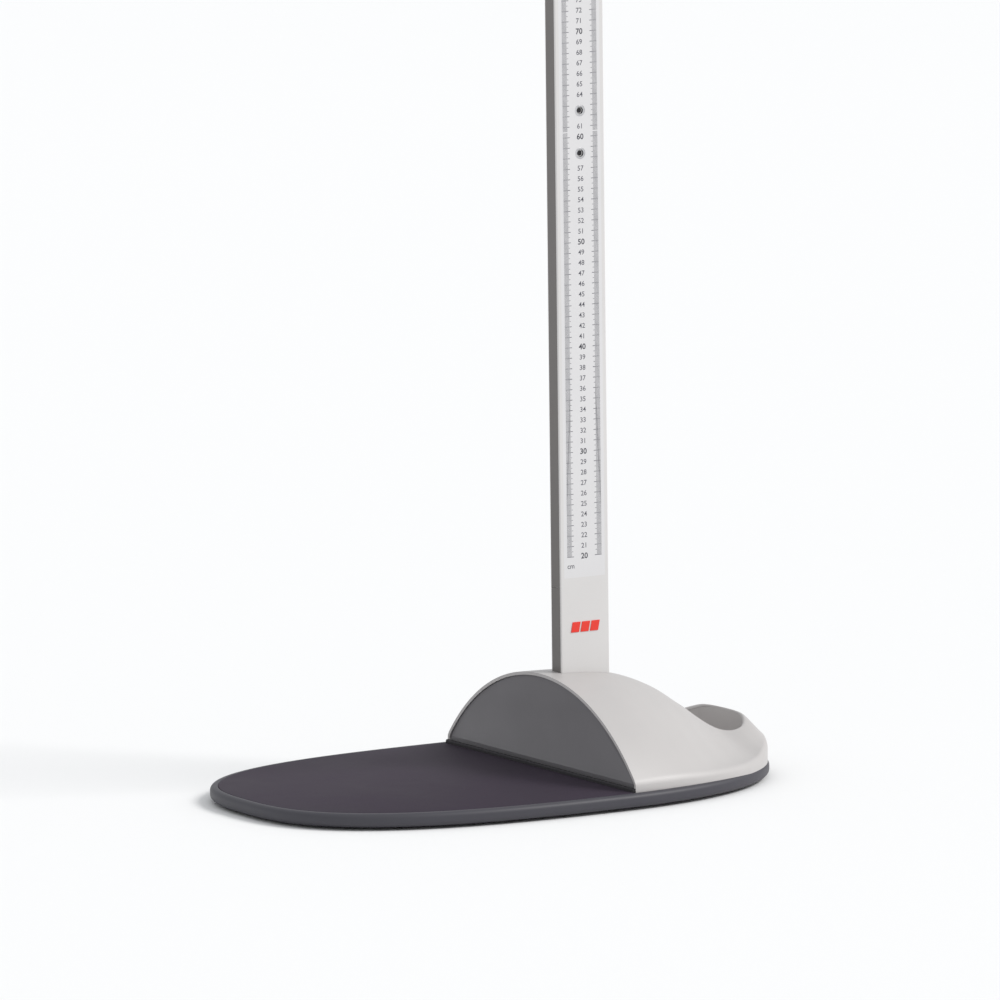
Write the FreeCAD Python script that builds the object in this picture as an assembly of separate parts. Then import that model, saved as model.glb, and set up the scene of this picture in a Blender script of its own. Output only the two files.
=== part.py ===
import FreeCAD, Part
import math
import os

# Height measuring station: an oval base plate, a domed foot cover with a hand recess, a column of
# four sections with a centimetre rule, and a head slide with a folding head plate.
# Units are millimetres. +X runs from the round foot end to the tail, the rule faces -Y, +Z is up,
# and the origin is the centre of the base on the floor.

V = FreeCAD.Vector
Y_AXIS = V(0, 1, 0)
Z_AXIS = V(0, 0, 1)

# Base outline: two half superellipses that meet at the widest station.
WIDEST_X = 29.7
FRONT_REACH = 305.5
REAR_REACH = 246.1
HALF_WIDTH = 181.5
FRONT_POWER = 2.73
REAR_POWER = 2.22
OUTLINE_STEPS = 40

# Heights in the base.
PAD_HEIGHT = 3.0
MAT_TOP = 16.0
MAT_THICKNESS = 2.0
PLATE_TOP = MAT_TOP - MAT_THICKNESS
TRIM_WIDTH = 7.0
TRIM_ROUND = 5.0
TRIM_FOOT_ROUND = 4.5
BOND_GAP = 0.1

# Foot pads.
PAD_RADIUS = 13.0
PAD_SOCKET = 1.0
PAD_INSET = 34.0
PAD_STATIONS = (-190.0, 15.0, 205.0)

# Foot cover: arch sections along X, each (station, ridge height, side height, slimness).
# Heights are above the mat, and slimness 1 is a circular arch.
COVER_FRONT = 51.8
COVER_INSET = 8.4
COVER_TAIL_INSET = 1.4
COVER_FLARE_LENGTH = 150.0
COVER_WALL = 3.0
COVER_STATIONS = (
    (COVER_FRONT, 90.0, 8.0, 1.0),
    (80.0, 89.5, 9.0, 1.05),
    (110.0, 87.4, 9.5, 1.15),
    (136.0, 82.0, 9.5, 1.35),
    (163.0, 71.4, 9.5, 1.75),
    (190.0, 54.2, 9.0, 2.1),
    (216.0, 38.5, 10.0, 2.2),
    (238.0, 42.5, 15.0, 1.8),
    (253.0, 44.5, 18.5, 1.5),
    (262.0, 35.5, 19.5, 1.4),
    (268.0, 26.0, 17.5, 1.4),
    (273.6, 16.0, 12.0, 1.4),
)
ARCH_STEPS = 20
ARCH_TAIL_SOLID = 3
BOSS_RADIUS = 5.0
BOSS_STATIONS = (85.0, 180.0)
BOSS_EDGE = 26.0

# Hand recess in the cover.
RECESS_X = 231.7
RECESS_HALF_LENGTH = 27.0
RECESS_HALF_WIDTH = 58.5
RECESS_FLOOR = 20.0
CUP_WALL = 2.5

# Heel panel and the seal at its foot.
PANEL_SETBACK = 1.2
PANEL_THICKNESS = 4.0
SEAL_WIDTH = 2.6
SEAL_HEIGHT = 3.4

# Column extrusion.
COLUMN_X = 97.0
COLUMN_DEPTH = 53.3
COLUMN_WIDTH = 18.4
COLUMN_WALL = 2.2
COLUMN_ROUND = 1.2
COLUMN_FOOT = 18.0
COLUMN_TOP = 2110.0
FIRST_JOINT = MAT_TOP + 604.7
SECTION_COUNT = 4
RULE_WIDTH = 45.0
RULE_DEPTH = 0.5
RULE_START = 196.0
GUIDE_WIDTH = 15.4
GUIDE_DEPTH = 1.0
GUIDE_START = MAT_TOP + 171.0
GUIDE_GAP = 0.6
CAP_HEIGHT = 10.0
CAP_OVERHANG = 1.5

# Splices between the column sections.
SPLICE_LENGTH = 120.0
SPLICE_WALL = 3.0
SPLICE_SCREW_OFFSET = 20.3
SPLICE_HEAD_RADIUS = 5.5
SPLICE_HEAD_DEPTH = 1.6
SPLICE_SHANK_RADIUS = 2.5
SOCKET_RADIUS = 2.6
SOCKET_DEPTH = 1.1

# Foot bracket that carries the column inside the cover.
BRACKET_LENGTH = 74.0
BRACKET_WIDTH = 96.0
BRACKET_FLANGE = 6.0
BRACKET_WALL = 5.0
BRACKET_TOP = 82.0
BRACKET_SCREW_EDGE = 8.0
CLAMP_HEIGHTS = (40.0, 66.0)
CLAMP_RADIUS = 3.0
CLAMP_HEAD_RADIUS = 5.5
CLAMP_HEAD = 4.0
SCREW_RADIUS = 2.5
SCREW_HEAD_RADIUS = 5.0
SCREW_HEAD = 3.0

# Badge and lower stop.
BADGE_LENGTH = 32.0
BADGE_HEIGHT = 11.0
BADGE_THICKNESS = 0.6
BADGE_Z = MAT_TOP + 132.5
STOP_Z = 156.0
STOP_SIZE = 8.0
STOP_DEPTH = 4.0

# Head slide: heights are counted from the measuring plane, the underside of the head plate.
READING = 1500.0
PLANE_Z = MAT_TOP + READING
RUN_GAP = 0.3
BODY_WALL_X = 14.5
BODY_WALL_Y = 10.0
BODY_BELOW = 55.0
BODY_ABOVE = 35.0
BODY_ROUND = 5.0
CHANNEL_GAP = 1.3
GLIDE_WIDTH = 10.0
GLIDE_THICKNESS = 3.0
GLIDE_MARGIN = 8.0
WINDOW_WIDTH = 44.0
WINDOW_BELOW = 22.0
WINDOW_ABOVE = 22.0
WINDOW_THICKNESS = 2.0
WINDOW_LEDGE = 3.0
POINTER_HEIGHT = 1.0
POINTER_THICKNESS = 0.4
BODY_SCREW_RADIUS = 1.6
BODY_SCREW_HEAD_RADIUS = 3.0
BODY_SCREW_HEAD = 2.5
BODY_SCREW_HEIGHTS = (-47.0, 27.0)
BODY_SCREW_RECESS = 6.0
BODY_SCREW_REACH = 12.0

# Release button, spring and brake shoe, in the rear half of the slide.
BUTTON_LENGTH = 8.0
BUTTON_WIDTH = 16.0
BUTTON_TALL = 12.0
BUTTON_PROUD = 6.0
BUTTON_TRAVEL = 4.0
BUTTON_SETBACK = 6.3
SPRING_RADIUS = 2.6
SPRING_WIRE = 0.6
SPRING_LENGTH = 14.0
SPRING_TURNS = 6
SHOE_LENGTH = 5.0
SHOE_WIDTH = 12.0
SHOE_TALL = 14.0
SHOE_TRAVEL = 1.0

# Head plate and its hinge.
HINGE_Z = 8.0
HINGE_OUT = 8.0
PIN_RADIUS = 3.0
PIN_FIT = 0.05
KNUCKLE_RADIUS = 7.5
EAR_WIDTH = 7.0
PLATE_REACH = 165.0
PLATE_HALF_WIDTH = 58.0
PLATE_NECK = 24.0
PLATE_CORNER = 34.0
PLATE_THICKNESS = 8.0
PLATE_EDGE_ROUND = 2.0


def box(x0, x1, y0, y1, z0, z1):
    """A box from its low and high corners."""
    return Part.makeBox(x1 - x0, y1 - y0, z1 - z0, V(x0, y0, z0))


def rod(radius, start, end):
    """A round bar between two points."""
    axis = end - start
    return Part.makeCylinder(radius, axis.Length, start, axis)


def upright(radius, x, y, z0, z1):
    """A round bar along Z."""
    return rod(radius, V(x, y, z0), V(x, y, z1))


def round_edges(shape, radius, pick):
    """Rounds the edges that pick accepts."""
    return shape.makeFillet(radius, [edge for edge in shape.Edges if pick(edge)])


def is_along(edge, axis):
    """True for a straight edge that runs along the axis."""
    if len(edge.Vertexes) != 2 or not isinstance(edge.Curve, Part.Line):
        return False
    run = edge.Vertexes[1].Point - edge.Vertexes[0].Point
    return abs(abs(run.dot(axis)) - run.Length) < 1e-6


def half_width(x, inset):
    """Half the width of the base outline at a station, drawn in by an inset."""
    front = x < WIDEST_X
    reach = (FRONT_REACH if front else REAR_REACH) - inset
    power = FRONT_POWER if front else REAR_POWER
    share = min(abs(x - WIDEST_X) / reach, 1.0)
    return (HALF_WIDTH - inset) * (1.0 - share**power) ** (1.0 / power)


def outline_point(turn, inset):
    """A point of the base outline, drawn in by an inset."""
    c = math.cos(turn)
    s = math.sin(turn)
    power = FRONT_POWER if c < 0 else REAR_POWER
    reach = (FRONT_REACH if c < 0 else REAR_REACH) - inset
    x = WIDEST_X + math.copysign(reach * abs(c) ** (2.0 / power), c)
    y = math.copysign((HALF_WIDTH - inset) * abs(s) ** (2.0 / power), s)
    return V(x, y, 0)


def oval(inset, z0, z1):
    """A slab with the base outline."""
    turns = [2.0 * math.pi * (k + 0.5) / (2 * OUTLINE_STEPS) for k in range(2 * OUTLINE_STEPS)]
    curve = Part.BSplineCurve()
    curve.interpolate([outline_point(turn, inset) for turn in turns], PeriodicFlag=True)
    face = Part.Face(Part.Wire(curve.toShape()))
    face.translate(V(0, 0, z0))
    return face.extrude(V(0, 0, z1 - z0))


def pad_places():
    """Centres of the foot pads, in pairs along the plate."""
    return [
        (x, side * half_width(x, PAD_INSET)) for x in PAD_STATIONS for side in (-1, 1)
    ]


def boss_places():
    """Centres of the four screw bosses in the cover."""
    return [
        (x, side * (half_width(x, COVER_INSET) - BOSS_EDGE))
        for x in BOSS_STATIONS
        for side in (-1, 1)
    ]


def bracket_screw_places():
    """Centres of the four screws that hold the bracket to the plate."""
    reach_x = BRACKET_LENGTH / 2 - BRACKET_SCREW_EDGE
    reach_y = BRACKET_WIDTH / 2 - BRACKET_SCREW_EDGE
    return [(COLUMN_X + i * reach_x, j * reach_y) for i in (-1, 1) for j in (-1, 1)]


def base_plate():
    """Solid oval plate, with sockets for the pads and holes for the screws."""
    shape = oval(TRIM_WIDTH, PAD_HEIGHT, PLATE_TOP)
    for x, y in pad_places():
        shape = shape.cut(upright(PAD_RADIUS, x, y, PAD_HEIGHT - 1.0, PAD_HEIGHT + PAD_SOCKET))
    for x, y in boss_places():
        shape = shape.cut(upright(SCREW_RADIUS, x, y, 0, MAT_TOP))
        shape = shape.cut(upright(SCREW_HEAD_RADIUS, x, y, 0, PAD_HEIGHT + SCREW_HEAD))
    for x, y in bracket_screw_places():
        shape = shape.cut(upright(SCREW_RADIUS, x, y, PAD_HEIGHT + 3.0, MAT_TOP))
    return shape


def edge_trim():
    """Ring round the plate with rounded edges, rebated under the cover."""
    slab = oval(0, PAD_HEIGHT, MAT_TOP)
    slab = round_edges(slab, TRIM_ROUND, lambda edge: edge.BoundBox.ZMin > MAT_TOP - 0.01)
    slab = round_edges(slab, TRIM_FOOT_ROUND, lambda edge: edge.BoundBox.ZMax < PAD_HEIGHT + 0.01)
    ring = slab.cut(oval(TRIM_WIDTH, 0, MAT_TOP + 1.0))
    return ring.cut(arch_body(-BOND_GAP, 0))


def foot_mat():
    """Sheet in front of the heel panel, let in level with the trim."""
    sheet = oval(TRIM_WIDTH + BOND_GAP, PLATE_TOP, MAT_TOP)
    front = box(-400, COVER_FRONT - SEAL_WIDTH, -400, 400, 0, 100)
    return sheet.common(front)


def heel_seal():
    """Strip in the corner between the mat and the heel panel."""
    reach = half_width(COVER_FRONT, COVER_INSET) - 0.6
    strip = box(COVER_FRONT - SEAL_WIDTH, COVER_FRONT, -reach, reach, PLATE_TOP, MAT_TOP + SEAL_HEIGHT)
    return round_edges(
        strip,
        1.2,
        lambda edge: is_along(edge, Y_AXIS)
        and edge.BoundBox.ZMin > MAT_TOP
        and edge.BoundBox.XMax < COVER_FRONT - 1.0,
    )


def foot_pad(place):
    """Round pad under the plate, let into its socket."""
    pad = upright(PAD_RADIUS, place[0], place[1], 0, PAD_HEIGHT + PAD_SOCKET)
    return round_edges(pad, 1.0, lambda edge: edge.BoundBox.ZMax < 0.01)


def cover_inset(x):
    """How far the cover's edge stands in from the base outline at a station."""
    share = min(max((x - COVER_FRONT) / COVER_FLARE_LENGTH, 0.0), 1.0)
    return COVER_INSET + (COVER_TAIL_INSET - COVER_INSET) * share


def arch_height(y, reach, rise, slimness):
    """Height of an arch above its springing, at a place across it."""
    radius = (reach**2 + rise**2) / (2 * rise)
    share = (math.sqrt(radius**2 - y**2) - (radius - rise)) / rise
    return rise * max(share, 0.0) ** slimness


def arch_section(station, shrink):
    """Closed arch wire at one station, drawn in by a wall."""
    x, ridge, side, slimness = station
    reach = half_width(x, cover_inset(x)) - shrink
    foot = MAT_TOP + side - shrink * min(0.3 + 1.4 * (slimness - 1.0), 1.0)
    rise = MAT_TOP + ridge - shrink - foot
    points = []
    for k in range(ARCH_STEPS + 1):
        y = reach * (2 * k / ARCH_STEPS - 1)
        points.append(V(x, y, foot + arch_height(y, reach, rise, slimness)))
    arch = Part.BSplineCurve()
    arch.interpolate(points)
    left_low = V(x, -reach, PLATE_TOP)
    right_low = V(x, reach, PLATE_TOP)
    edges = [
        Part.LineSegment(left_low, points[0]).toShape(),
        arch.toShape(),
        Part.LineSegment(points[-1], right_low).toShape(),
        Part.LineSegment(right_low, left_low).toShape(),
    ]
    return Part.Wire(edges)


def arch_body(shrink, skip):
    """Solid through the arch sections, without the last few when it is the inside."""
    stations = COVER_STATIONS[: len(COVER_STATIONS) - skip]
    return Part.makeLoft([arch_section(s, shrink) for s in stations], True, False)


def recess_core(grow, floor):
    """Oval column of the hand recess, from its floor upwards."""
    ellipse = Part.Ellipse(V(0, 0, floor), RECESS_HALF_WIDTH + grow, RECESS_HALF_LENGTH + grow)
    wire = Part.Wire(ellipse.toShape())
    core = Part.Face(wire).extrude(V(0, 0, 90.0))
    core.rotate(V(0, 0, 0), Z_AXIS, 90)
    core.translate(V(RECESS_X, 0, 0))
    return core


def column_slot(gap):
    """Space that the column takes up, with a gap all round."""
    reach_x = COLUMN_DEPTH / 2 + gap
    reach_y = COLUMN_WIDTH / 2 + gap
    return box(COLUMN_X - reach_x, COLUMN_X + reach_x, -reach_y, reach_y, COLUMN_FOOT, COLUMN_TOP)


def base_cover():
    """Domed shell, open at the front, with a slot for the column and an oval hand opening."""
    outside = arch_body(0, 0)
    inside = arch_body(COVER_WALL, ARCH_TAIL_SOLID)
    shell = outside.cut(inside)
    for x, y in boss_places():
        post = upright(BOSS_RADIUS, x, y, PLATE_TOP, MAT_TOP + 90.0).common(outside)
        shell = shell.fuse(post)
    shell = shell.cut(column_slot(RUN_GAP))
    shell = shell.cut(recess_core(BOND_GAP, RECESS_FLOOR - CUP_WALL - BOND_GAP))
    for x, y in boss_places():
        shell = shell.cut(upright(SCREW_RADIUS, x, y, 0, PLATE_TOP + 12.0))
    return shell


def grip_cup():
    """Oval cup that lines the hand recess."""
    cup = recess_core(0, RECESS_FLOOR - CUP_WALL).cut(recess_core(-CUP_WALL, RECESS_FLOOR))
    return cup.common(arch_body(0, 0))


def heel_panel():
    """Half-round panel that closes the front of the cover."""
    front = COVER_FRONT + PANEL_SETBACK
    slab = box(front, front + PANEL_THICKNESS, -400, 400, PLATE_TOP, 200)
    return slab.common(arch_body(COVER_WALL + BOND_GAP, ARCH_TAIL_SOLID))


def foot_bracket():
    """Flanged socket that holds the foot of the column."""
    half = BRACKET_WIDTH / 2
    x0 = COLUMN_X - BRACKET_LENGTH / 2
    x1 = COLUMN_X + BRACKET_LENGTH / 2
    flange = box(x0, x1, -half, half, PLATE_TOP, PLATE_TOP + BRACKET_FLANGE)
    reach_x = COLUMN_DEPTH / 2 + BRACKET_WALL
    reach_y = COLUMN_WIDTH / 2 + BRACKET_WALL
    sleeve = box(COLUMN_X - reach_x, COLUMN_X + reach_x, -reach_y, reach_y, PLATE_TOP, BRACKET_TOP)
    shape = flange.fuse(sleeve)
    for side in (-1, 1):
        web = Part.makePolygon(
            [
                V(COLUMN_X - 3, side * reach_y, PLATE_TOP + BRACKET_FLANGE),
                V(COLUMN_X - 3, side * (half - 6), PLATE_TOP + BRACKET_FLANGE),
                V(COLUMN_X - 3, side * reach_y, CLAMP_HEIGHTS[0] - CLAMP_HEAD_RADIUS - 2.0),
                V(COLUMN_X - 3, side * reach_y, PLATE_TOP + BRACKET_FLANGE),
            ]
        )
        shape = shape.fuse(Part.Face(web).extrude(V(6, 0, 0)))
    shape = shape.cut(column_slot(0)).removeSplitter()
    for z in CLAMP_HEIGHTS:
        shape = shape.cut(rod(CLAMP_RADIUS, V(COLUMN_X, -40, z), V(COLUMN_X, 40, z)))
    for x, y in bracket_screw_places():
        shape = shape.cut(upright(SCREW_RADIUS, x, y, 0, 60))
    return shape


def clamp_bolt(z):
    """Bolt across the bracket and the column, with a nut on its far end."""
    face = COLUMN_WIDTH / 2 + BRACKET_WALL
    shank = rod(CLAMP_RADIUS, V(COLUMN_X, -face, z), V(COLUMN_X, face + CLAMP_HEAD, z))
    head = rod(CLAMP_HEAD_RADIUS, V(COLUMN_X, -face - CLAMP_HEAD, z), V(COLUMN_X, -face, z))
    socket = rod(SOCKET_RADIUS, V(COLUMN_X, -face - CLAMP_HEAD - 1, z), V(COLUMN_X, -face - 1.5, z))
    corners = [
        V(COLUMN_X + CLAMP_HEAD_RADIUS * math.cos(a), face, z + CLAMP_HEAD_RADIUS * math.sin(a))
        for a in [math.pi * k / 3 for k in range(7)]
    ]
    nut = Part.Face(Part.makePolygon(corners)).extrude(V(0, CLAMP_HEAD, 0))
    return head.cut(socket).fuse(shank).fuse(nut).removeSplitter()


def plate_screw(place):
    """Screw that holds the bracket flange to the plate."""
    x, y = place
    seat = PLATE_TOP + BRACKET_FLANGE
    shank = upright(SCREW_RADIUS, x, y, PAD_HEIGHT + 3.0, seat)
    head = upright(SCREW_HEAD_RADIUS, x, y, seat, seat + SCREW_HEAD)
    head = round_edges(head, 1.0, lambda edge: edge.BoundBox.ZMin > seat + SCREW_HEAD - 0.01)
    socket = upright(2.0, x, y, seat + 1.2, seat + SCREW_HEAD + 1.0)
    return shank.fuse(head.cut(socket)).removeSplitter()


def cover_screw(place):
    """Screw from below that holds the cover's boss to the plate."""
    x, y = place
    head = upright(SCREW_HEAD_RADIUS, x, y, PAD_HEIGHT, PAD_HEIGHT + SCREW_HEAD)
    socket = upright(2.0, x, y, 0, PAD_HEIGHT + 1.6)
    shank = upright(SCREW_RADIUS, x, y, PAD_HEIGHT + SCREW_HEAD, PLATE_TOP + 12.0)
    return head.cut(socket).fuse(shank).removeSplitter()


def section_levels():
    """Heights at which the column sections begin and end."""
    step = (COLUMN_TOP - FIRST_JOINT) / (SECTION_COUNT - 1)
    return [COLUMN_FOOT] + [FIRST_JOINT + k * step for k in range(SECTION_COUNT)]


def screw_levels(joint):
    """Heights of the two screws at a joint."""
    return [joint - SPLICE_SCREW_OFFSET, joint + SPLICE_SCREW_OFFSET]


def column_profile(z0, z1):
    """Length of the extrusion: hollow, with shallow grooves for the rule and the guide strip."""
    reach_x = COLUMN_DEPTH / 2
    reach_y = COLUMN_WIDTH / 2
    bar = box(COLUMN_X - reach_x, COLUMN_X + reach_x, -reach_y, reach_y, z0, z1)
    bar = round_edges(bar, COLUMN_ROUND, lambda edge: is_along(edge, Z_AXIS))
    inner_x = reach_x - COLUMN_WALL
    inner_y = reach_y - COLUMN_WALL
    hollow = box(COLUMN_X - inner_x, COLUMN_X + inner_x, -inner_y, inner_y, z0 - 1, z1 + 1)
    half_rule = RULE_WIDTH / 2
    near = -reach_y
    groove_foot = max(z0 - 1, RULE_START)
    rule_groove = box(
        COLUMN_X - half_rule, COLUMN_X + half_rule, near - 1, near + RULE_DEPTH, groove_foot, z1 + 1
    )
    face = COLUMN_X - reach_x
    guide_groove = box(
        face - 1, face + GUIDE_DEPTH, -GUIDE_WIDTH / 2, GUIDE_WIDTH / 2, z0 - 1, z1 + 1
    )
    return bar.cut(hollow).cut(rule_groove).cut(guide_groove)


def splice_screw_holes(levels):
    """Cutters for the splice screws that lie at the given heights."""
    face = -COLUMN_WIDTH / 2
    cutters = []
    for z in levels:
        seat = V(COLUMN_X, face + SPLICE_HEAD_DEPTH, z)
        cutters.append(rod(SPLICE_HEAD_RADIUS, V(COLUMN_X, face - 1, z), seat))
        cutters.append(rod(SPLICE_SHANK_RADIUS, V(COLUMN_X, face, z), V(COLUMN_X, 0, z)))
    return cutters


def all_screw_levels():
    """Heights of every splice screw, from the lowest up."""
    return [z for joint in section_levels()[1:-1] for z in screw_levels(joint)]


def column_section(index):
    """One length of the column."""
    levels = section_levels()
    z0 = levels[index]
    z1 = levels[index + 1]
    shape = column_profile(z0, z1)
    for cutter in splice_screw_holes([z for z in all_screw_levels() if z0 < z < z1]):
        shape = shape.cut(cutter)
    if index == 0:
        for z in CLAMP_HEIGHTS:
            shape = shape.cut(rod(CLAMP_RADIUS, V(COLUMN_X, -40, z), V(COLUMN_X, 40, z)))
    return shape


def splice_bar(joint):
    """Hollow bar inside the column across a joint."""
    reach_x = COLUMN_DEPTH / 2 - COLUMN_WALL
    reach_y = COLUMN_WIDTH / 2 - COLUMN_WALL
    z0 = joint - SPLICE_LENGTH / 2
    z1 = joint + SPLICE_LENGTH / 2
    bar = box(COLUMN_X - reach_x, COLUMN_X + reach_x, -reach_y, reach_y, z0, z1)
    inner_x = reach_x - SPLICE_WALL
    inner_y = reach_y - SPLICE_WALL
    bar = bar.cut(box(COLUMN_X - inner_x, COLUMN_X + inner_x, -inner_y, inner_y, z0 - 1, z1 + 1))
    for cutter in splice_screw_holes(screw_levels(joint)):
        bar = bar.cut(cutter)
    return bar


def splice_screw(z):
    """Socket screw, its head let into the rule face of the column."""
    face = -COLUMN_WIDTH / 2
    head = rod(SPLICE_HEAD_RADIUS, V(COLUMN_X, face, z), V(COLUMN_X, face + SPLICE_HEAD_DEPTH, z))
    shank = rod(SPLICE_SHANK_RADIUS, V(COLUMN_X, face + SPLICE_HEAD_DEPTH, z), V(COLUMN_X, -1.0, z))
    socket = rod(SOCKET_RADIUS, V(COLUMN_X, face - 1, z), V(COLUMN_X, face + SOCKET_DEPTH, z))
    return head.cut(socket).fuse(shank).removeSplitter()


def rule_strip(index):
    """Printed strip in the groove of one column section."""
    levels = section_levels()
    z0 = max(levels[index], RULE_START)
    z1 = levels[index + 1]
    face = -COLUMN_WIDTH / 2
    strip = box(COLUMN_X - RULE_WIDTH / 2, COLUMN_X + RULE_WIDTH / 2, face, face + RULE_DEPTH, z0, z1)
    for z in all_screw_levels():
        strip = strip.cut(rod(SPLICE_HEAD_RADIUS, V(COLUMN_X, face - 1, z), V(COLUMN_X, 0, z)))
    return strip


def guide_strip():
    """Wear strip in the groove on the front face of the column, with a filler length below it."""
    face = COLUMN_X - COLUMN_DEPTH / 2
    half = GUIDE_WIDTH / 2
    wear = box(face, face + GUIDE_DEPTH, -half, half, GUIDE_START, COLUMN_TOP)
    filler = box(face, face + GUIDE_DEPTH, -half, half, BRACKET_TOP + 1.0, GUIDE_START - GUIDE_GAP)
    return Part.makeCompound([filler, wear])


def top_cap():
    """Cap over the top of the column, with a plug that reaches down inside it."""
    reach_x = COLUMN_DEPTH / 2
    reach_y = COLUMN_WIDTH / 2
    lid = box(
        COLUMN_X - reach_x - CAP_OVERHANG,
        COLUMN_X + reach_x + CAP_OVERHANG,
        -reach_y - CAP_OVERHANG,
        reach_y + CAP_OVERHANG,
        COLUMN_TOP,
        COLUMN_TOP + CAP_HEIGHT,
    )
    lid = round_edges(lid, 2.0, lambda edge: edge.BoundBox.ZMax > COLUMN_TOP + 0.01)
    plug_x = reach_x - COLUMN_WALL
    plug_y = reach_y - COLUMN_WALL
    plug = box(
        COLUMN_X - plug_x, COLUMN_X + plug_x, -plug_y, plug_y, COLUMN_TOP - 22.0, COLUMN_TOP
    )
    return lid.fuse(plug)


def badge():
    """Plain oblong badge on the column's face, below the rule."""
    face = -COLUMN_WIDTH / 2
    plate = box(
        COLUMN_X - BADGE_LENGTH / 2,
        COLUMN_X + BADGE_LENGTH / 2,
        face - BADGE_THICKNESS,
        face,
        BADGE_Z - BADGE_HEIGHT / 2,
        BADGE_Z + BADGE_HEIGHT / 2,
    )
    return round_edges(plate, 2.0, lambda edge: is_along(edge, Y_AXIS))


def lower_stop():
    """Block on the far face of the column that the slide comes down on."""
    face = COLUMN_WIDTH / 2
    low = STOP_Z - STOP_SIZE / 2
    high = STOP_Z + STOP_SIZE / 2
    block = box(COLUMN_X - STOP_SIZE, COLUMN_X + STOP_SIZE, face, face + STOP_DEPTH, low, high)
    return round_edges(block, 1.0, lambda edge: is_along(edge, Y_AXIS))


def body_reach():
    """Half length and half width of the slide body."""
    return COLUMN_DEPTH / 2 + BODY_WALL_X, COLUMN_WIDTH / 2 + BODY_WALL_Y


def body_block():
    """Slide body before it is split: a sleeve with a window on the rule side."""
    reach_x, reach_y = body_reach()
    z0 = PLANE_Z - BODY_BELOW
    z1 = PLANE_Z + BODY_ABOVE
    block = box(COLUMN_X - reach_x, COLUMN_X + reach_x, -reach_y, reach_y, z0, z1)
    block = round_edges(block, BODY_ROUND, lambda edge: is_along(edge, Z_AXIS))
    block = round_edges(
        block, 2.0, lambda edge: edge.BoundBox.ZMin > z1 - 0.01 or edge.BoundBox.ZMax < z0 + 0.01
    )
    inner_x = COLUMN_DEPTH / 2 + CHANNEL_GAP
    inner_y = COLUMN_WIDTH / 2 + CHANNEL_GAP
    block = block.cut(box(COLUMN_X - inner_x, COLUMN_X + inner_x, -inner_y, inner_y, z0 - 1, z1 + 1))
    block = block.cut(window_space(0.0, -reach_y - 1, 0))
    outer_face = -reach_y + WINDOW_LEDGE
    return block.cut(window_space(WINDOW_LEDGE, outer_face, outer_face + WINDOW_THICKNESS))


def window_space(grow, y0, y1):
    """Space of the reading window, grown on its four sides."""
    return box(
        COLUMN_X - WINDOW_WIDTH / 2 - grow,
        COLUMN_X + WINDOW_WIDTH / 2 + grow,
        y0,
        y1,
        PLANE_Z - WINDOW_BELOW - grow,
        PLANE_Z + WINDOW_ABOVE + grow,
    )


def window():
    """Clear pane held in the slide body."""
    outer_face = -body_reach()[1] + WINDOW_LEDGE
    return window_space(WINDOW_LEDGE, outer_face, outer_face + WINDOW_THICKNESS)


def pointer():
    """Reading line on the inside of the pane."""
    inner = -body_reach()[1] + WINDOW_LEDGE + WINDOW_THICKNESS
    return box(
        COLUMN_X - WINDOW_WIDTH / 2,
        COLUMN_X + WINDOW_WIDTH / 2,
        inner,
        inner + POINTER_THICKNESS,
        PLANE_Z - POINTER_HEIGHT / 2,
        PLANE_Z + POINTER_HEIGHT / 2,
    )


def glide_space(side):
    """Space of the glide shoe at the front (-1) or the rear (1) of the column."""
    face = COLUMN_DEPTH / 2 + RUN_GAP
    x0 = COLUMN_X + side * face
    x1 = COLUMN_X + side * (face + GLIDE_THICKNESS)
    z0 = PLANE_Z - BODY_BELOW + GLIDE_MARGIN
    z1 = PLANE_Z + BODY_ABOVE - GLIDE_MARGIN
    return box(min(x0, x1), max(x0, x1), -GLIDE_WIDTH / 2, GLIDE_WIDTH / 2, z0, z1)


def shoe_space(room):
    """Space of the brake shoe, with room to draw back."""
    x0 = COLUMN_X + COLUMN_DEPTH / 2 + RUN_GAP
    middle = PLANE_Z - BODY_BELOW / 2 + 4.0
    half = SHOE_TALL / 2 + room
    reach = SHOE_WIDTH / 2 + room
    travel = SHOE_TRAVEL if room > 0 else 0.0
    x1 = x0 + SHOE_LENGTH + travel + room
    return box(x0, x1, -reach, reach, middle - half, middle + half)


def rear_glide():
    """Rear glide shoe, which leaves room for the brake."""
    return glide_space(1).cut(shoe_space(1.2))


def button_centre():
    """X of the release button's middle."""
    return COLUMN_X + COLUMN_DEPTH / 2 + CHANNEL_GAP + BUTTON_SETBACK


def button_space(gap, drop):
    """Space of the release button, with a gap at the sides and a drop below it."""
    x = button_centre()
    top = PLANE_Z + BODY_ABOVE + BUTTON_PROUD
    reach_x = BUTTON_LENGTH / 2 + gap
    reach_y = BUTTON_WIDTH / 2 + gap
    return box(x - reach_x, x + reach_x, -reach_y, reach_y, top - BUTTON_TALL - drop, top)


def brake_button():
    """Push button on top of the slide."""
    return round_edges(
        button_space(0, 0),
        1.5,
        lambda edge: edge.BoundBox.ZMin > PLANE_Z + BODY_ABOVE + BUTTON_PROUD - 0.01,
    )


def spring_levels():
    """Bottom and top of the button's spring."""
    top = PLANE_Z + BODY_ABOVE + BUTTON_PROUD - BUTTON_TALL
    return top - SPRING_LENGTH, top


def brake_spring():
    """Coil spring under the button."""
    low, high = spring_levels()
    run = high - low - 2 * SPRING_WIRE
    helix = Part.makeHelix(run / SPRING_TURNS, run, SPRING_RADIUS)
    profile = Part.Wire(Part.makeCircle(SPRING_WIRE, V(SPRING_RADIUS, 0, 0), Y_AXIS))
    coil = Part.Wire(helix).makePipeShell([profile], True, True)
    coil.translate(V(button_centre(), 0, low + SPRING_WIRE))
    return coil


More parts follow.
